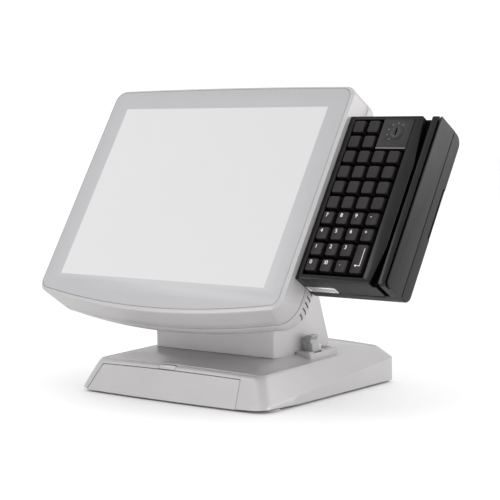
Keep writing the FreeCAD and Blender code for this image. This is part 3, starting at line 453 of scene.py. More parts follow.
def make_bezel():
    levels = [(GLASS_INSET + 7, -6), (GLASS_INSET + 7, -3.05), (GLASS_INSET - 0.35, -3.05),
              (GLASS_INSET - 0.35, -0.25), (GLASS_INSET - 0.6, 0.0), (GLASS_INSET - 0.9, 0.0)]
    for step in range(7):
        angle = math.radians(15 * step)
        levels.append((1.0 * (1 - math.sin(angle)), -2.2 - 1.6 * (1 - math.cos(angle))))
    levels += [(0.0, -8), (0.0, -16), (0.0, -24), (0.0, SEAM_W + 0.9), (0.25, SEAM_W + 0.35),
               (0.9, SEAM_W + 0.3), (2.5, SEAM_W + 0.3), (2.5, -8), (2.5, -6)]
    rings = [casing_ring(inset, height) for inset, height in levels]
    mesh = loft_mesh(rings + [rings[0]], False, False)
    finish_mesh("front_casing", mesh, HEAD, SILVER, "head", ["front_bezel"])


def make_glass():
    outer = [head_ring(GLASS_INSET + extra, height) for extra, height in
             ((0.4, GLASS_LOW.z + 0.02), (0.0, GLASS_LOW.z + 0.4), (0.0, -0.35), (0.12, -0.1), (0.4, 0.0))]
    mesh = loft_mesh(outer, True, False)
    rim = [(point.x, point.y) for point in outer[-1]]
    window = [(-ACTIVE_X, -ACTIVE_Y), (ACTIVE_X, -ACTIVE_Y), (ACTIVE_X, ACTIVE_Y), (-ACTIVE_X, ACTIVE_Y)]
    loops = [[Vector((x, y, 0)) for x, y in rim], [Vector((x, y, 0)) for x, y in reversed(window)]]
    flat = loops[0] + loops[1]
    work = bmesh.new()
    work.from_mesh(mesh)
    verts = [work.verts.new(point) for point in flat]
    for trio in tessellate_polygon(loops):
        work.faces.new([verts[corner] for corner in trio])
    screen = work.faces.new(verts[len(rim):])
    screen.material_index = 1
    bmesh.ops.remove_doubles(work, verts=work.verts, dist=1e-5)
    work.to_mesh(mesh)
    work.free()
    finish_mesh("touch_screen", mesh, HEAD, [GLASS_BORDER, SCREEN], "head", ["touch_glass"])


def make_housing():
    levels = [(2.5, SEAM_W - 0.3), (0.9, SEAM_W - 0.3), (0.25, SEAM_W - 0.35), (0.0, SEAM_W - 0.9)]
    rings = [head_ring(inset, height, DROP, SEAM_ROUND) for inset, height in levels]
    depth = SEAM_W - HEAD_BACK
    for step in range(11):
        angle = math.radians(9 * step)
        inset = 14.0 * (1 - math.cos(angle))
        height = SEAM_W - 8 - (depth - 8) * math.sin(angle)
        rings.append(head_ring(inset, height, DROP * math.cos(angle), SEAM_ROUND))
    rings.append(head_ring(22, HEAD_BACK))
    lining = [head_ring(22, HEAD_BACK + 2.5), head_ring(18, HEAD_BACK + 3.5, 0, SEAM_ROUND),
              head_ring(4.5, HEAD_BACK + 16, DROP * 0.8, SEAM_ROUND),
              head_ring(2.5, SEAM_W - 4, DROP, SEAM_ROUND), rings[0]]
    mesh = join_meshes([loft_mesh(rings, False, True), loft_mesh(lining, True, False)])
    piece = finish_mesh("back_casing", mesh, HEAD, SILVER, "head", ["rear_housing"])
    vents = []
    for sign in (-1, 1):
        for number in range(VENTS):
            low = VENT_FIRST + VENT_PITCH * number
            slot = rectangle(-1.1, 1.1, -5.5, 5.5, 1.09, 5)
            vent = plate_mesh([slot], -12, 12, 0)
            turn = (Matrix.Translation((sign * (HEAD_HALF - 4), low, SEAM_W - 11))
                    @ Matrix.Rotation(math.radians(90 * sign), 4, "Y")
                    @ Matrix.Rotation(math.radians(90 - VENT_LEAN * sign), 4, "Z"))
            vents.append(tool_mesh(vent, HEAD @ turn))
    cut(piece, vents)


# ---- shared small makers
def join_meshes(meshes):
    """One mesh from several, each keeping its own material numbers."""
    work = bmesh.new()
    for mesh in meshes:
        work.from_mesh(mesh)
    joined = bpy.data.meshes.new("part")
    work.to_mesh(joined)
    work.free()
    return joined


def paint(mesh, number):
    """Give every face of a mesh one material number."""
    for face in mesh.polygons:
        face.material_index = number
    return mesh


def moved(mesh, x, y, z):
    mesh.transform(Matrix.Translation((x, y, z)))
    return mesh


def screw_mesh(radius, height):
    """A round screw head with a crossed recess and a rounded rim."""
    count = 24
    rings = []
    for inset, level in ((0, 0), (0, 0.55), (0.07, 0.85), (0.2, 1.0), (0.33, 1.0)):
        rings.append([Vector((p.x, p.y, level * height)) for p in circle(0, 0, radius * (1 - inset), count)])
    for share, level in ((0.5, 0.98), (0.4, 0.4), (0.02, 0.35)):
        ring = []
        for index in range(count):
            angle = 2 * math.pi * index / count
            reach = radius * share * (1 if index % 6 in (0, 1, 5) else 0.55)
            ring.append(Vector((reach * math.cos(angle), reach * math.sin(angle), level * height)))
        rings.append(ring)
    return loft_mesh(rings)


def add_screws(name, places, matrix, body, radius=2.6, height=1.2):
    """A set of screw heads at (x, y, z) places of a drawing plane, standing on its z."""
    heads = [moved(screw_mesh(radius, height), *place) for place in places]
    finish_mesh(name, join_meshes(heads), matrix, STEEL, body, slot="steel")


# ---- tilt arm and back of the head
TILT_AXIS = HEAD.inverted() @ Vector(JOINT["head_tilt"]["pos_m"])
ARM_HALF = local_box("tilt_hinge_bracket")[1].x + 9.0
ARM_BARREL = 21.0
ARM_THICK = 28.0


def make_arm():
    half = ARM_THICK / 2
    turn = math.asin(half / ARM_BARREL)
    outline = [Vector((TILT_AXIS.y - half, HEAD_BACK + 3)), Vector((TILT_AXIS.y + half, HEAD_BACK + 3))]
    outline += arc((TILT_AXIS.y, TILT_AXIS.z), ARM_BARREL, ARM_BARREL, math.pi / 2 - turn,
                   turn - math.pi * 3 / 2, 40)
    mesh = plate_mesh([outline], -ARM_HALF, ARM_HALF, 1.6, 1.6)
    finish_mesh("tilt_arm", mesh, ACROSS_HEAD, SILVER, "head", slot="silver_casing")
    caps = []
    for sign in (-1, 1):
        ring = [circle(TILT_AXIS.y, TILT_AXIS.z, 8.5)]
        low, high = sorted((sign * (ARM_HALF - 1), sign * (ARM_HALF + 0.8)))
        caps.append(plate_mesh(ring, low, high, 0.4, 0.4))
    finish_mesh("arm_end_caps", join_meshes(caps), ACROSS_HEAD, STEEL, "head", slot="steel")


def make_head_back():
    """Service cover, its vents and screws, the casing screws and the wall-mount bosses on the back."""
    back = behind(HEAD_BACK)
    holes = [rectangle(x - 26, x + 26, y - 1.3, y + 1.3, 1.28, 4)
             for x in (-62, 0, 62) for y in (62, 69, 76, 83, 90)]
    cover = plate_mesh([rectangle(-112, 112, 4, 104, 8)] + holes, -0.6, 1.6, 0.8)
    finish_mesh("service_cover", cover, back, SILVER, "head", slot="silver_casing")
    # A black plate under the cover's vent holes: painted shade inside the holes.
    dark = plate_mesh([rectangle(-92, 92, 57, 95, 2)], -0.5, 0.3, 0.2)
    finish_mesh("service_vent_shade", dark, back, PORT_AND_VENT_SHADE_BLACK, "head", slot="black_casing")
    add_screws("service_screws", [(x, y, 1.5) for x in (-104, 104) for y in (12, 96)], back, "head")
    add_screws("casing_screws", [(x, y, -0.1) for x in (-148, 148) for y in (-84, 104)], back, "head")
    vesa = [plate_mesh([circle(x, y, 4.2), circle(x, y, 2.0)], -0.5, 0.9, 0.4)
            for x in (-50, 50) for y in (-4, 110)]
    finish_mesh("wall_mount_bosses", join_meshes(vesa), back, STEEL, "head", slot="steel")


SOCKET_ROW, SOCKET_WALL = -94, 0.9


def make_sockets():
    """Sockets in the underside of the back casing, left of the tilt arm when seen from behind."""
    back = behind(HEAD_BACK)
    tray = plate_mesh([rectangle(-130, -66, -104, -84, 3)], -0.5, 1.2, 0.6)
    finish_mesh("socket_panel", tray, back, SILVER_BAND, "head", slot="silver_casing")
    shells = []
    cores = []
    for x, wide, tall in ((-120, 15, 12), (-103, 14, 6.5), (-87, 14, 6.5), (-73, 9, 9)):
        outer, inner = [rectangle(x - wide / 2 + wall, x + wide / 2 - wall, SOCKET_ROW - tall / 2 + wall,
                                  SOCKET_ROW + tall / 2 - wall, radius)
                        for wall, radius in ((0, 1.0), (SOCKET_WALL, 0.6))]
        shells.append(plate_mesh([outer, inner], 0.4, 2.0, 0.2))
        cores.append(plate_mesh([inner], 0.4, 1.35, 0.1))
    finish_mesh("socket_shells", join_meshes(shells), back, BRIGHT, "head", slot="reader_metal")
    finish_mesh("socket_cores", join_meshes(cores), back, PORT_AND_VENT_SHADE_BLACK, "head", slot="black_casing")


# ---- keypad
FRAME_LOW, FRAME_HIGH = local_box("keypad_front_frame")
CASE_LOW, CASE_HIGH = local_box("keypad_rear_case")
RAIL_LOW, RAIL_HIGH = local_box("card_reader_rail")
LOCK_LOW, LOCK_HIGH = local_box("key_lock_plate")
SWITCH_LOW, SWITCH_HIGH = local_box("key_switch")
FIRST_KEY = local_box("key_row1_col1")
LAST_KEY = local_box("key_enter")
WELL_LEFT = FIRST_KEY[0].x - 0.5
WELL_RIGHT = LOCK_HIGH.x + 0.3
WELL_TOP = FIRST_KEY[1].y + 0.5
WELL_BOTTOM = LAST_KEY[0].y - 3.2
WELL_FLOOR = LOCK_LOW.z


def make_pad_frame():
    """Front half of the keypad: a glossy face around the key well, flared where the card goes in and out."""
    right = FRAME_HIGH.x
    flare = 5.0
    outer = [Vector(point) for point in (
        (FRAME_LOW.x, FRAME_LOW.y), (right - flare, FRAME_LOW.y), (right + 1.6, FRAME_LOW.y + 42),
        (right + 1.6, FRAME_HIGH.y - 58), (right - flare * 1.1, FRAME_HIGH.y), (FRAME_LOW.x, FRAME_HIGH.y))]
    outer = rounded(outer, [0.6, 2.0, 30, 30, 2.0, 0.6], 6)
    well = rectangle(WELL_LEFT, WELL_RIGHT, WELL_BOTTOM, WELL_TOP, 1.2, 4)
    shelf = FRAME_HIGH.z - 9.0
    upper = plate_mesh([outer, well], shelf, FRAME_HIGH.z, 0.9)
    box = rectangle(FRAME_LOW.x, right - 0.3, FRAME_LOW.y, FRAME_HIGH.y, 0.6, 6)
    lower = plate_mesh([box, well], FRAME_LOW.z + 0.25, shelf, 0)
    shell = join_meshes([upper, lower])
    # The floor under the keys takes the near-black painted-shade material.
    bed = rectangle(WELL_LEFT - 1, WELL_RIGHT + 1, WELL_BOTTOM - 1, WELL_TOP + 1, 1)
    floor = paint(plate_mesh([bed], WELL_FLOOR - 2, WELL_FLOOR, 0), 1)
    # Inner walls of the key well and the card slot get the near-black painted shade; the other side faces get
    # the plain black.
    for face in shell.polygons:
        middle = face.center
        inside = (WELL_LEFT - 0.3 < middle.x < WELL_RIGHT + 0.3
                  and WELL_BOTTOM - 0.3 < middle.y < WELL_TOP + 0.3)
        in_slot = middle.x > WELL_RIGHT + 9 and middle.z < FRAME_HIGH.z - 1.5
        on_side = abs(face.normal.z) < 0.5
        face.material_index = 1 if in_slot or (inside and on_side) else 2 if on_side else 0
    mesh = join_meshes([shell, floor])
    finish_mesh("keypad_frame", mesh, HEAD, [BLACK_GLOSS, BLACK_RECESS_SHADE, BLACK], "head", ["keypad_front_frame"])


def make_pad_case():
    low, high = CASE_LOW, CASE_HIGH
    outline = rounded([(low.y, low.z), (high.y, low.z), (high.y, high.z - 0.2), (low.y, high.z - 0.2)],
                      [10, 12, 0, 0], 10)
    body = plate_mesh([outline], low.x, high.x, 1.6, 0.6, 5)
    piece = finish_mesh("keypad_case", body, ACROSS_HEAD, BLACK, "head", ["keypad_rear_case"])
    groove = block_mesh((high.x - 1.6, high.x + 4), (-18, 42), (low.z - 3, low.z + 5.5))
    cut(piece, [tool_mesh(groove, HEAD)])
    # The strip at the bottom of the groove takes the near-black painted-shade material.
    grip = block_mesh((high.x - 1.8, high.x - 0.5), (-17.6, 41.6), (low.z + 0.8, low.z + 5.1), 0.4)
    finish_mesh("case_grip", grip, HEAD, BLACK_RECESS_SHADE, "head", slot="black_casing")
    back = behind(low.z)
    add_screws("keypad_screws", [(-x, y, -0.2) for x in (low.x + 12, high.x - 14) for y in (-80, 90)],
               back, "head", 2.2, 0.9)


def make_rail():
    low, high = RAIL_LOW, RAIL_HIGH
    outline = rounded([(low.y, low.z + 0.25), (high.y, low.z + 0.25), (high.y, high.z), (low.y, high.z)],
                      [0, 0, 1.0, 5.5], 8)
    body = plate_mesh([outline], low.x, high.x, 0.7, 0.7, 3)
    piece = finish_mesh("card_rail", body, ACROSS_HEAD, BLACK, "head", ["card_reader_rail"])
    strip_right = high.x - 3.9
    groove = block_mesh((strip_right, high.x - 1.2), (low.y - 5, high.y + 5), (high.z - 9, high.z + 3))
    head_low, head_high = local_box("card_reader_head")
    pocket = block_mesh((low.x - 2, head_high.x + 0.2), (head_low.y - 0.3, head_high.y + 0.3),
                        (head_low.z - 0.3, head_high.z + 0.3))
    cut(piece, [tool_mesh(groove, HEAD), tool_mesh(pocket, HEAD)])
    strip = rounded([(low.x + 0.3, low.y + 0.4), (strip_right - 0.1, low.y + 0.4),
                     (strip_right - 0.1, high.y - 0.4), (low.x + 0.3, high.y - 0.4)], [1.0, 5.0, 1.0, 1.0], 6)
    face = plate_mesh([strip], high.z - 0.4, high.z + 0.5, 0.45)
    finish_mesh("card_rail_strip", face, HEAD, BLACK_GLOSS, "head", slot="black_casing")


CATCH_LEFT, CATCH_RIGHT = 183.0, 221.5


def make_tab():
    """Bright framed catch on the underside of the keypad."""
    under = frame_of((0, FRAME_LOW.y, 0), (1, 0, 0), (0, 0, 1), HEAD)
    outline = rectangle(CATCH_LEFT, CATCH_RIGHT, -38.5, -28, 1.6, 4)
    window = rectangle(CATCH_LEFT + 3, CATCH_RIGHT - 3, -36.3, -30.2, 1.0, 4)
    rim = plate_mesh([outline, window], -0.3, 1.0, 0.5)
    finish_mesh("catch_frame", rim, under, BRIGHT, "head", slot="reader_metal")
    fill = plate_mesh([offset_outline(window, 0.1)], -0.3, 0.5, 0.3)
    finish_mesh("catch_slide", fill, under, MODULE_GREY, "head", slot="reader_metal")


def make_lock():
    low, high = LOCK_LOW, LOCK_HIGH
    centre = (SWITCH_LOW + SWITCH_HIGH) / 2
    radius = (SWITCH_HIGH.x - SWITCH_LOW.x) / 2
    plate = plate_mesh([rectangle(low.x, high.x, low.y, high.y, 1.2, 4),
                        circle(centre.x, centre.y, radius + 0.1)], low.z, high.z, 0.5)
    marks = []
    for number in range(6):
        angle = math.radians(235 - 36 * number)
        out = Vector((math.cos(angle), math.sin(angle)))
        aside = Vector((-out.y, out.x))
        mark = [Vector((centre.x, centre.y)) + out * reach + aside * side
                for reach, side in ((10.2, -0.3), (11.8, -0.3), (11.8, 0.3), (10.2, 0.3))]
        marks.append(paint(plate_mesh([mark], high.z - 0.1, high.z + 0.06, 0), 1))
    edge = [rectangle(low.x + 0.3, high.x - 0.3, low.y + 0.4, low.y + 1.1)]
    marks.append(paint(plate_mesh(edge, high.z - 0.3, high.z + 0.05, 0), 1))
    mesh = join_meshes([plate] + marks)
    finish_mesh("lock_plate", mesh, HEAD, [LOCK_FACE, TICKS], "head", ["key_lock_plate"])
    collar = plate_mesh([circle(centre.x, centre.y, radius + wide) for wide in (1.5, 0.1)],
                        high.z - 0.2, high.z + 0.7, 0.4)
    finish_mesh("lock_collar", collar, HEAD, BARREL, "head", slot="lock_barrel")
    slit = rectangle(centre.x - 1.0, centre.x + 1.0, centre.y - 4.4, centre.y + 4.4, 0.9, 4)
    rotor = plate_mesh([circle(centre.x, centre.y, radius - 0.05), slit],
                       SWITCH_LOW.z, SWITCH_HIGH.z, 0.8)
    # The keyhole's floor and the dot for the notch take the near-black painted-shade material.
    bottom = plate_mesh([circle(centre.x, centre.y, radius - 1)], SWITCH_LOW.z + 0.3,
                        SWITCH_HIGH.z - 4.5, 0)
    notch = plate_mesh([circle(centre.x, centre.y + radius - 2.0, 0.7, 12)],
                       SWITCH_HIGH.z - 0.2, SWITCH_HIGH.z + 0.1, 0)
    mesh = join_meshes([rotor, paint(bottom, 1), paint(notch, 1)])
    finish_mesh("lock_rotor", mesh, HEAD, [BARREL, BLACK_RECESS_SHADE], "key_switch", ["key_switch"])


def text_mesh(words, size):
    """A word as a thin solid mesh, centred on its own origin."""
    curve = bpy.data.curves.new("word", "FONT")
    curve.body = words
    curve.size = size
    curve.extrude = 0.09
    curve.align_x = "CENTER"
    curve.align_y = "CENTER"
    holder = bpy.data.objects.new("word", curve)
    bpy.context.scene.collection.objects.link(holder)
    bpy.context.view_layer.update()
    mesh = bpy.data.meshes.new_from_object(holder.evaluated_get(bpy.context.evaluated_depsgraph_get()))
    bpy.data.objects.remove(holder)
    return mesh


def key_ring(half_x, half_y, radius, height, dish=0.0, full_x=1.0):
    outline = rectangle(-half_x, half_x, -half_y, half_y, radius, 4)
    steps = []
    for index, point in enumerate(outline):
        following = outline[(index + 1) % len(outline)]
        steps.append(point)
        if (following - point).length > half_x * 0.8:
            steps += [point.lerp(following, share / 4) for share in (1, 2, 3)]
    return [Vector((p.x, p.y, height - dish * max(0.0, 1 - (p.x / full_x) ** 2))) for p in steps]


DIGITS = ("zero", "one", "two", "three", "four", "five", "six", "seven", "eight", "nine")
LEGENDS = {"key_" + name: str(digit) for digit, name in enumerate(DIGITS)}
LEGENDS.update(key_double_zero="00", key_point=".", key_minus="-", key_plus="+")
KEY_SKIRT, LEGEND_SIZE = 9.0, 6.4


def make_key(node):
    low, high = local_box(node)
    middle = (low + high) / 2
    half_x = (high.x - low.x) / 2
    half_y = (high.y - low.y) / 2
    top = high.z
    skirt = top - KEY_SKIRT
    sculpted = node in LEGENDS or node == "key_enter"
    dish = 0.55 if sculpted else 0.08
    top_x = half_x - 2.2
    top_y = half_y - 1.65
    shift = Vector((-0.4, -0.5, 0))
    rings = [key_ring(half_x - 0.8, half_y - 0.8, 1.0, level) for level in (skirt + 1.2, skirt)]
    rings.append(key_ring(half_x, half_y, 1.4, skirt))
    rings.append(key_ring(top_x + 0.15, top_y + 0.12, 1.9, top - 0.75))
    for step in range(1, 4):
        angle = math.radians(30 * step)
        inset = 0.75 * (1 - math.cos(angle))
        level = top - 0.75 + 0.75 * math.sin(angle)
        rings.append(key_ring(top_x - inset, top_y - inset, 1.8, level, dish * step / 6, top_x))
    for share in (0.88, 0.6, 0.3, 0.04):
        rings.append(key_ring(top_x * share, top_y * share, 1.6 * share, top, dish, top_x))
    rings = rings[:3] + [[point + shift for point in ring] for ring in rings[3:]]
    cap = loft_mesh(rings)
    for face in cap.polygons:
        # Faces below the top take the darker side black: painted shade on the key's sides.
        face.material_index = 2 if face.center.z < top - 0.8 else 0
    meshes = [cap]
    if node in LEGENDS:
        word = text_mesh(LEGENDS[node], LEGEND_SIZE)
        place = Vector((-top_x * 0.38, top_y * 0.34))
        meshes.append(paint(moved(word, place.x, place.y, top - dish * (1 - (place.x / top_x) ** 2)), 1))
    if node == "key_enter":
        shaft_x, bar_y = top_x * 0.52, -top_y * 0.5
        level = (top - dish * 0.8, top - dish * 0.5)
        bars = (rectangle(shaft_x - 0.28, shaft_x + 0.28, bar_y, top_y * 0.72),
                rectangle(-1.2, shaft_x + 0.28, bar_y - 0.56, bar_y),
                [(-3.6, bar_y - 0.28), (-1.2, bar_y - 1.6), (-1.2, bar_y + 1.04)])
        meshes += [paint(plate_mesh([bar], level[0] - 0.5, level[1], 0), 1) for bar in bars]
    mesh = moved(join_meshes(meshes), middle.x, middle.y, 0)
    finish_mesh("cap_" + node[4:], mesh, HEAD, [KEYCAP, LEGEND, KEYCAP_SIDE_SHADE], BODY_OF[node], [node],
                smooth_angle=40)


# ---- neck
NECK_LOW, NECK_HIGH = local_box("neck_shell", WORLD)
TILT_Y, TILT_Z = [JOINT["head_tilt"]["pos_m"][axis] / MM for axis in (1, 2)]
FOLD_Y, FOLD_Z = [JOINT["stand_fold"]["pos_m"][axis] / MM for axis in (1, 2)]
NECK_BARREL = TILT_Y - NECK_LOW.y
FOLD_ROUND = FOLD_Z - NECK_LOW.z
NECK_LEAN = 36.5
NECK_BACK_ROUND = 8.0
SLOPE_LOW = Vector((FOLD_Y + FOLD_ROUND, FOLD_Z))
SLOPE_HIGH = Vector((FOLD_Y + FOLD_ROUND - NECK_LEAN, NECK_HIGH.z))
ALONG_X = frame_of((0, 0, 0), (0, 1, 0), (0, 0, 1))


def neck_profile(front, back, wall=0.0):
    """Side view of the neck, pulled in at the front, at the sloping back, and all round by a wall."""
    outline = [Vector((NECK_LOW.y + front + wall, NECK_LOW.z - (5 if wall else 0)))]
    barrel = NECK_BARREL - wall
    outline += arc((TILT_Y, TILT_Z), barrel - front, barrel - front * 0.5, math.pi, math.pi / 2, 16)
    pull = back + wall
    top = NECK_HIGH.z - wall - front * 0.5
    slope = (SLOPE_LOW - SLOPE_HIGH).normalized()
    inward = Vector((slope.y, -slope.x))
    corner = SLOPE_HIGH + inward * pull + slope * ((SLOPE_HIGH.y + inward.y * pull - top) / -slope.y)
    low = SLOPE_LOW + inward * pull
    radius = 16.0
    half = slope.angle(Vector((-1, 0))) / 2
    reach = radius / math.tan(half)
    start = corner + Vector((-1, 0)) * reach
    centre = start + Vector((0, -radius))
    finish = corner + slope * reach
    first = math.atan2(start.y - centre.y, start.x - centre.x)
    last = math.atan2(finish.y - centre.y, finish.x - centre.x)
    outline += arc(centre, radius, radius, first, last, 12)
    round_low = FOLD_ROUND - wall
    for step in range(13):
        angle = -math.pi / 2 * step / 12
        outline.append(Vector((low.x - round_low + round_low * math.cos(angle),
                               low.y + round_low * math.sin(angle) - (5 * step / 12 if wall else 0))))
    return outline


NECK_EDGE, NECK_WALL_X = 1.8, 6.0


def make_neck():
    half = NECK_HIGH.x
    edge = NECK_EDGE
    depths = [0.0, 0.25, 0.8, 1.8, 3.2, 5.0, 7.2, 9.5, 12.0]
    rings = []
    for depth in depths:
        front = edge - math.sqrt(max(edge ** 2 - max(edge - depth, 0) ** 2, 0))
        back = NECK_BACK_ROUND - math.sqrt(max(NECK_BACK_ROUND ** 2 - (NECK_BACK_ROUND - depth) ** 2, 0))
        rings.append([Vector((p.x, p.y, -half + depth)) for p in neck_profile(front, back * 0.92)])
    for ring in list(reversed(rings)):
        rings.append([Vector((p.x, p.y, -p.z)) for p in ring])
    mesh = loft_mesh(rings)
    piece = finish_mesh("neck_casing", mesh, ALONG_X, SILVER, "neck", ["neck_shell"])
    inner = neck_profile(0, 3.0, 3.0)
    reach = half - NECK_WALL_X
    hollow = loft_mesh([[Vector((p.x, p.y, x)) for p in inner] for x in (-reach, reach)])
    mouth_half = ARM_HALF + 1.5
    mouth = plate_mesh([rectangle(NECK_LOW.y - 5, TILT_Y + 16, TILT_Z - 16, NECK_HIGH.z + 8)],
                       -mouth_half, mouth_half, 0)
    saddle = plate_mesh([circle(TILT_Y, TILT_Z, ARM_BARREL + 2, 48)], -mouth_half, mouth_half, 0)
    cover_room = plate_mesh([rectangle(-65.5, 65.5, 8.2, 97.6, 4)], -3.6, 6, 0)
    cut(piece, [tool_mesh(room, ALONG_X) for room in (hollow, mouth, saddle)]
        + [tool_mesh(cover_room, BACK_SLOPE)])


BACK_SLOPE = frame_of((0, SLOPE_LOW.x, SLOPE_LOW.y), (-1, 0, 0),
                      (0, SLOPE_HIGH.x - SLOPE_LOW.x, SLOPE_HIGH.y - SLOPE_LOW.y))


def make_neck_cover():
    holes = [rectangle(x - 1.2, x + 1.2, 70, 88, 1.15, 4) for x in range(-40, 41, 8)]
    panel = plate_mesh([rectangle(-65, 65, 8.6, 97.2, 3.6)] + holes, -3.0, 0.0, 0.8)
    finish_mesh("neck_cable_cover", panel, BACK_SLOPE, SILVER, "neck", ["neck_rear_cover"])
    notch = plate_mesh([rectangle(-9, 9, 12, 18, 2)], -0.4, 1.0, 0.7)
    finish_mesh("cover_catch", notch, BACK_SLOPE, SILVER_BAND, "neck", slot="silver_casing")
    add_screws("neck_screws", [(x, 92, -0.2) for x in (-58, 58)], BACK_SLOPE, "neck", 2.3, 1.0)


# ---- base
BASE_LOW, BASE_HIGH = local_box("base_cover", WORLD)
FOOT_HIGH = local_box("rubber_feet", WORLD)[1].z
BASE_BOTTOM = BASE_LOW.z
BASE_FRONT = local_box("base_front_panel", WORLD)[0].y
BASE_BACK = BASE_HIGH.y
HALF_REAR = BASE_HIGH.x
FLARE, SHOULDER = 6.0, 16.0
HALF_FRONT = HALF_REAR - FLARE
RIM_HALF = HALF_FRONT - SHOULDER
RIM_FRONT, RIM_REAR = 38.5, 42.0
CREASE_FRONT, CREASE_REAR = 6.5, 30.5
FACE_LEAN = 15.0 / 36.0
BASE_BOW = 4.0
CORNER_LIFT = 2.4
BUTTON_BAND = 34.2
SEAT_TOP = NECK_LOW.z - 0.4


def along_base(y, front, rear):
    return front + (rear - front) * clamp((y - BASE_FRONT) / (BASE_BACK - BASE_FRONT))


def crown_at(x, y):
    return along_base(y, 3.0, 4.0) * max(1 - (x / RIM_HALF) ** 2, 0)


def bow_at(x, y=None):
    """How far the front bulges forward at x, fading out towards the middle of the base."""
    fade = 1.0 if y is None else clamp(1 - (y - BASE_FRONT - 20) / 60)
    return BASE_BOW * max(1 - (x / HALF_FRONT) ** 2, 0) * fade


def base_ring(share, rounding, front_in=0.0, rear_in=0.0, side_in=0.0, sink=0.0, height=None):
    """Footprint ring. Share runs from 0 at the side crease to 1 at the rim; a height makes a level ring."""
    front_z = height if height is not None else CREASE_FRONT + (RIM_FRONT - CREASE_FRONT) * share
    front_y = BASE_FRONT + (front_z - BASE_BOTTOM) * FACE_LEAN + front_in
    half_f = HALF_FRONT + (RIM_HALF - HALF_FRONT) * share - side_in
    half_r = HALF_REAR + (RIM_HALF - HALF_REAR) * share - side_in
    rear_y = BASE_BACK - rear_in
    corners = [(-half_f, front_y), (half_f, front_y), (half_r, rear_y), (-half_r, rear_y)]
    outline = rounded(corners, [rounding, rounding, rounding * 0.75, rounding * 0.75], 8)
    ring = []
    for index, point in enumerate(outline):
        following = outline[(index + 1) % len(outline)]
        pieces = 24 if (index + 1) % 9 == 0 else 1
        for step in range(pieces):
            p = point.lerp(following, step / pieces)
            p.y -= bow_at(p.x, p.y)
            if height is not None:
                lift = CORNER_LIFT * abs(p.x / HALF_FRONT) ** 8 * clamp(1 - (p.y - BASE_FRONT) / 60)
                ring.append(Vector((p.x, p.y, height + min(lift, CORNER_LIFT))))
                continue
            crease = along_base(p.y, CREASE_FRONT, CREASE_REAR)
            top = along_base(p.y, RIM_FRONT, RIM_REAR)
            lift = crown_at(p.x, p.y) * clamp((share - 0.55) / 0.45)
            ring.append(Vector((p.x, p.y, crease + (top - crease) * share + lift - sink)))
    return ring


def scaled_ring(ring, share):
    middle_y = (BASE_FRONT + BASE_BACK) / 2
    scaled = []
    for point in ring:
        x, y = point.x * share, middle_y + (point.y - middle_y) * share
        level = along_base(y, RIM_FRONT, RIM_REAR) + crown_at(x, y) - 0.7
        rise = clamp((0.985 - share) / 0.25)
        rise = rise * rise * (3 - 2 * rise)
        scaled.append(Vector((x, y, level + (SEAT_TOP - level) * rise)))
    return scaled


# share, rounding, then how far in at the front, rear and sides, and how far down
BASE_RINGS = (
    (0, 11), (0.04, 11), (0.4, 11), (0.80, 11), (0.87, 11, 0.15), (0.94, 11, 1.1, 0.8), (0.97, 11, 2.3, 1.4),
    (0.985, 9.5, 3.0, 2.0, 0.6), (0.985, 9.5, 3.4, 2.4, 1.0, 0.75), (0.985, 9, 4.0, 3.0, 1.6, 0.75),
    (1.0, 9, 4.4, 3.4, 2.0), (1.0, 8.5, 5.4, 4.4, 3.0, 0.1), (1.0, 8, 6.4, 5.4, 4.0, 0.7))


def make_base():
    rings = [base_ring(0, 9, 18, 3, 3, height=BASE_BOTTOM + 3), base_ring(0, 9, 16, 3, 3, height=BASE_BOTTOM),
             base_ring(0, 11, 0.3, 0.3, 0.3, height=BASE_BOTTOM), base_ring(0, 11, height=BASE_BOTTOM + 0.4)]
    rings += [base_ring(*row) for row in BASE_RINGS]
    rim = rings[-1]
    rings += [scaled_ring(rim, share)
              for share in (0.985, 0.95, 0.9, 0.85, 0.8, 0.75, 0.7, 0.55, 0.4, 0.2, 0.01)]
    under = [Vector((p.x, p.y, p.z - 3)) for p in scaled_ring(rim, 0.98)]
    under_rings = [[Vector((p.x, p.y, p.z - 3)) for p in scaled_ring(rim, share)]
                   for share in (0.01, 0.3, 0.6, 0.86)]
    side_under = base_ring(0.5, 12, 18, 3, 3, 3)
    mesh = loft_mesh(under_rings + [under, side_under] + rings, True, True)
    piece = finish_mesh("base_casing", mesh, WORLD, SILVER, "base", ["base_cover"], smooth_angle=24)
    cable = plate_mesh([rounded([(-30, 7.5), (30, 7.5), (30, 21.5), (-30, 21.5)], [1, 1, 6, 6], 6)],
                       -BASE_BACK - 20, -BASE_BACK + 12, 0)
    panel_room = front_panel_mesh(0.6, -3.4, 6, 0)
    button = plate_mesh([rectangle(-12.9, 12.9, -3.5, 3.3, 1.2)], -6, 6, 0)
    fold_room = [block_mesh((sign * 61.5 - 2.2, sign * 61.5 + 2.2), (54.6, 70), (24, 50))
                 for sign in (-1, 1)]
    cut(piece, [tool_mesh(cable, ALONG_Y), tool_mesh(panel_room, WORLD), tool_mesh(button, BUTTON_FACE)]
        + [tool_mesh(room, WORLD) for room in fold_room])


BUTTON_LOW, BUTTON_HIGH = local_box("power_button", WORLD)
BUTTON_X = (BUTTON_LOW.x + BUTTON_HIGH.x) / 2
BAND_Y = BASE_FRONT + (BUTTON_BAND - BASE_BOTTOM) * FACE_LEAN + 0.75 - bow_at(BUTTON_X)
BUTTON_FACE = frame_of((BUTTON_X, BAND_Y + 1.0, BUTTON_BAND + 4.4), (1, 0, 0), (0, 0.56, 1))


PANEL_STEPS = 32
PANEL_HIGH = 30.6
PANEL_LEFT, PANEL_LEFT_LEAN = -129.0, 16.0
PANEL_RIGHT, PANEL_RIGHT_LEAN = 99.0, 1.5


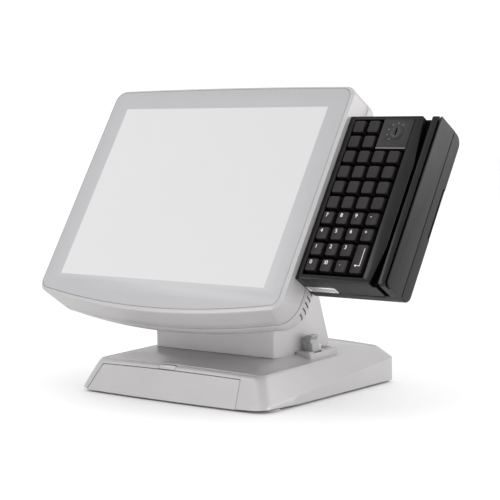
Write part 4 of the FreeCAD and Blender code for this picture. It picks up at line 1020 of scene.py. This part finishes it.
def front_panel_mesh(grow, back, front, edge):
    """Bowed panel: seams lean inward going up, and the top edge follows the crown of the base."""
    low = -4.0 if grow else 0.0
    scale = math.hypot(1, FACE_LEAN)
    stations = [(0, edge, 0), (0, 0, edge)] if edge else [(0, 0, 0)]
    stations += [(step / PANEL_STEPS, 0, 0) for step in range(1, PANEL_STEPS)]
    stations += [(1, 0, -edge), (1, edge, 0)] if edge else [(1, 0, 0)]
    rings = []
    for share, inset, shift in stations:
        top = 32.8 + grow + crown_at(-113 + 210.5 * share, BASE_FRONT) * 0.75 - inset
        section = rounded([(back, low), (front - inset, low), (front - inset, top), (back, top)],
                          [0.1, 0.4, 0.4, 0.1], 4)
        ring = []
        for w, v in section:
            left = PANEL_LEFT + PANEL_LEFT_LEAN * v / PANEL_HIGH - grow
            right = PANEL_RIGHT - PANEL_RIGHT_LEAN * v / PANEL_HIGH + grow
            x = left + (right - left) * share + shift
            ring.append(Vector((x, BASE_FRONT + (v * FACE_LEAN - w) / scale - bow_at(x),
                                BASE_BOTTOM + (v + w * FACE_LEAN) / scale)))
        rings.append(ring)
    return loft_mesh(rings)


def make_front_panel():
    mesh = front_panel_mesh(0, -2.8, 0.05, 0.5)
    finish_mesh("drawer_front", mesh, WORLD, SILVER, "base", ["base_front_panel"])
    button = plate_mesh([rectangle(-12.5, 12.5, -3.1, 2.3, 1.2, 5)], -4, 0.55, 0.6)
    lens = paint(plate_mesh([rectangle(-3.0, 3.0, -0.7, 0.7, 0.65, 4)], 0.4, 0.7, 0.1), 1)
    finish_mesh("button_cap", join_meshes([button, lens]), BUTTON_FACE, [SILVER, LENS],
                "power_button", ["power_button"])
    bump = plate_mesh([rectangle(-9, 9, 6.5, 10.5, 1.9, 5)], -0.6, 1.0, 0.7)
    top_face = frame_of((BUTTON_X + 6, BAND_Y, RIM_FRONT + 2.0), (1, 0, 0.01), (0, 1, 0.005))
    finish_mesh("status_lamp", bump, top_face, LENS, "base", slot="button_lens")


ALONG_Y = frame_of((0, 0, 0), (1, 0, 0), (0, 0, 1))
LATCH_X, LATCH_Z = [JOINT["latch_turn"]["pos_m"][axis] / MM for axis in (0, 2)]
LATCH_FRONT = local_box("fold_latch", WORLD)[0].y
LATCH_DEEP = 14.0
LATCH_BACK = LATCH_FRONT + LATCH_DEEP
LEDGE_TOP = 49.0


def make_ledge():
    ledge = plate_mesh([rectangle(NECK_HIGH.x + 0.3, 112.5, -1, 54, 2.5)], RIM_FRONT, LEDGE_TOP, 0.9)
    piece = finish_mesh("latch_ledge", ledge, WORLD, SILVER, "base", slot="silver_casing")
    notch = block_mesh((LATCH_X - 9.5, LATCH_X + 9.5), (LATCH_FRONT - 0.6, LATCH_BACK + 0.4),
                       (SEAT_TOP - 3.4, 60))
    step = block_mesh((109.2, 118), (-6, 64), (LEDGE_TOP - 1.2, 60))
    cut(piece, [tool_mesh(notch, WORLD), tool_mesh(step, WORLD)])
    for number, y in enumerate((36.0, 41.0, 46.0)):
        rib = plate_mesh([rectangle(94, 108, y, y + 2.4, 1.1, 5)], LEDGE_TOP - 0.3, LEDGE_TOP + 0.8, 0.5)
        finish_mesh("ledge_rib_%d" % number, rib, WORLD, SILVER, "base", slot="silver_casing")
    ear = rounded([(LATCH_X - 4.2, SEAT_TOP - 1), (LATCH_X + 4.2, SEAT_TOP - 1),
                   (LATCH_X + 4.2, LATCH_Z + 3.4), (LATCH_X - 4.2, LATCH_Z + 3.4)], [0.5, 0.5, 4.0, 4.0], 8)
    mesh = plate_mesh([ear], -LATCH_BACK - 4.9, -LATCH_BACK - 0.3, 0.6, 0.6)
    finish_mesh("latch_ear", mesh, ALONG_Y, SILVER, "base", slot="silver_casing")


def make_latch():
    corners = ((-5.6, -8.6), (6.0, -8.6), (4.6, 2.2), (1.9, 6.4), (2.6, 9.4), (5.0, 13.2), (-4.4, 13.6),
               (-8.8, 8.8), (-5.0, 2.6))
    radii = [3.0, 3.0, 2.5, 2.6, 2.4, 1.2, 3.4, 2.2, 2.0]
    outline = rounded([(LATCH_X + x, LATCH_Z + z) for x, z in corners], radii, 6)
    lever = plate_mesh([outline], -LATCH_BACK, -LATCH_FRONT, 0.9, 0.9)
    pin = plate_mesh([circle(LATCH_X, LATCH_Z, 2.0, 24)], -LATCH_BACK - 4.6, -LATCH_BACK + 1, 0)
    finish_mesh("latch_lever", join_meshes([lever, pin]), ALONG_Y, LATCH_GREY, "latch",
                ["fold_latch"], smooth_angle=40)


FOOT_RADIUS, BOLT_RADIUS = 9.5, 2.3


def make_feet():
    low, high = local_box("rubber_feet", WORLD)
    pads = [plate_mesh([circle(x, y, FOOT_RADIUS), circle(x, y, BOLT_RADIUS, 20)], 0, FOOT_HIGH, 0.5, 0.5)
            for x in (low.x + FOOT_RADIUS, high.x - FOOT_RADIUS)
            for y in (low.y + FOOT_RADIUS, high.y - FOOT_RADIUS)]
    finish_mesh("feet", join_meshes(pads), WORLD, RUBBER, "base", ["rubber_feet"])


# ---- stage, light, camera
def make_stage():
    floor_mesh = plate_mesh([rectangle(-6000, 6000, -6000, 6000)], -2, 0, 0)
    floor = bpy.data.objects.new("floor", floor_mesh)
    floor_mesh.transform(Matrix.Translation((0, 0, -0.0002)) @ WORLD)
    bpy.context.scene.collection.objects.link(floor)
    pale = surface("pale_floor", (0.93, 0.93, 0.93), 0.7, grain=300, depth=0.00002, rough=(0.65, 0.75),
        tint=0.005, mottle=2.0)
    floor_mesh.materials.append(pale)
    world = bpy.data.worlds.new("studio")
    world.use_nodes = True
    world.node_tree.nodes["Background"].inputs["Color"].default_value = (1, 1, 1, 1)
    world.node_tree.nodes["Background"].inputs["Strength"].default_value = 1.08
    bpy.context.scene.world = world
    bpy.context.scene.view_settings.view_transform = "Standard"


def add_light(name, place, target, size, power):
    data = bpy.data.lights.new(name, "AREA")
    data.shape = "RECTANGLE"
    data.size, data.size_y = size
    data.energy = power
    lamp = bpy.data.objects.new(name, data)
    lamp.location = place
    lamp.rotation_euler = (Vector(target) - Vector(place)).to_track_quat("-Z", "Y").to_euler()
    bpy.context.scene.collection.objects.link(lamp)


EYE = (1.18375, -1.47046, 0.34910)
AZIMUTH, ELEVATION, ROLL = 38.24, 5.61, -1.16
SENSOR, LENS_LENGTH = 36.0, 114.08


def make_camera():
    azimuth, elevation, roll = [math.radians(angle) for angle in (AZIMUTH, ELEVATION, ROLL)]
    back = Vector((math.sin(azimuth) * math.cos(elevation), -math.cos(azimuth) * math.cos(elevation),
                   math.sin(elevation)))
    right = Vector((math.cos(azimuth), math.sin(azimuth), 0))
    up = back.cross(right)
    turned_right = right * math.cos(roll) + up * math.sin(roll)
    turned_up = up * math.cos(roll) - right * math.sin(roll)
    data = bpy.data.cameras.new("camera")
    data.sensor_width = SENSOR
    data.lens = LENS_LENGTH
    data.clip_end = 50
    camera = bpy.data.objects.new("camera", data)
    camera.matrix_world = (Matrix.Translation(EYE)
                           @ Matrix((turned_right, turned_up, back)).transposed().to_4x4())
    bpy.context.scene.collection.objects.link(camera)
    bpy.context.scene.camera = camera


make_stage()
make_camera()
for light in (
        ("front_left_box", (-0.81, -1.03, 1.23), (0.24, -0.12, 0.16), (0.9, 0.43), 3.6),
        ("right_box", (1.9, 0.1, 0.8), (0.2, 0, 0.1), (1.0, 1.0), 11),
        ("back_right_box", (1.34, 1.6, 0.58), (0.25, 0, 0.25), (1.2, 0.6), 5),
        ("low_front_box", (-0.45, -1.3, 0.10), (0.0, -0.03, 0.09), (0.5, 0.2), 1.8)):
    add_light(*light)
for make in (make_bezel, make_glass, make_housing, make_arm, make_head_back, make_sockets, make_pad_frame,
             make_pad_case, make_rail, make_tab, make_lock, make_neck, make_neck_cover, make_base,
             make_front_panel, make_ledge, make_latch, make_feet):
    make()
for node in frame["nodes"]:
    if node.startswith("key_") and node not in ("key_lock_plate", "key_switch"):
        make_key(node)
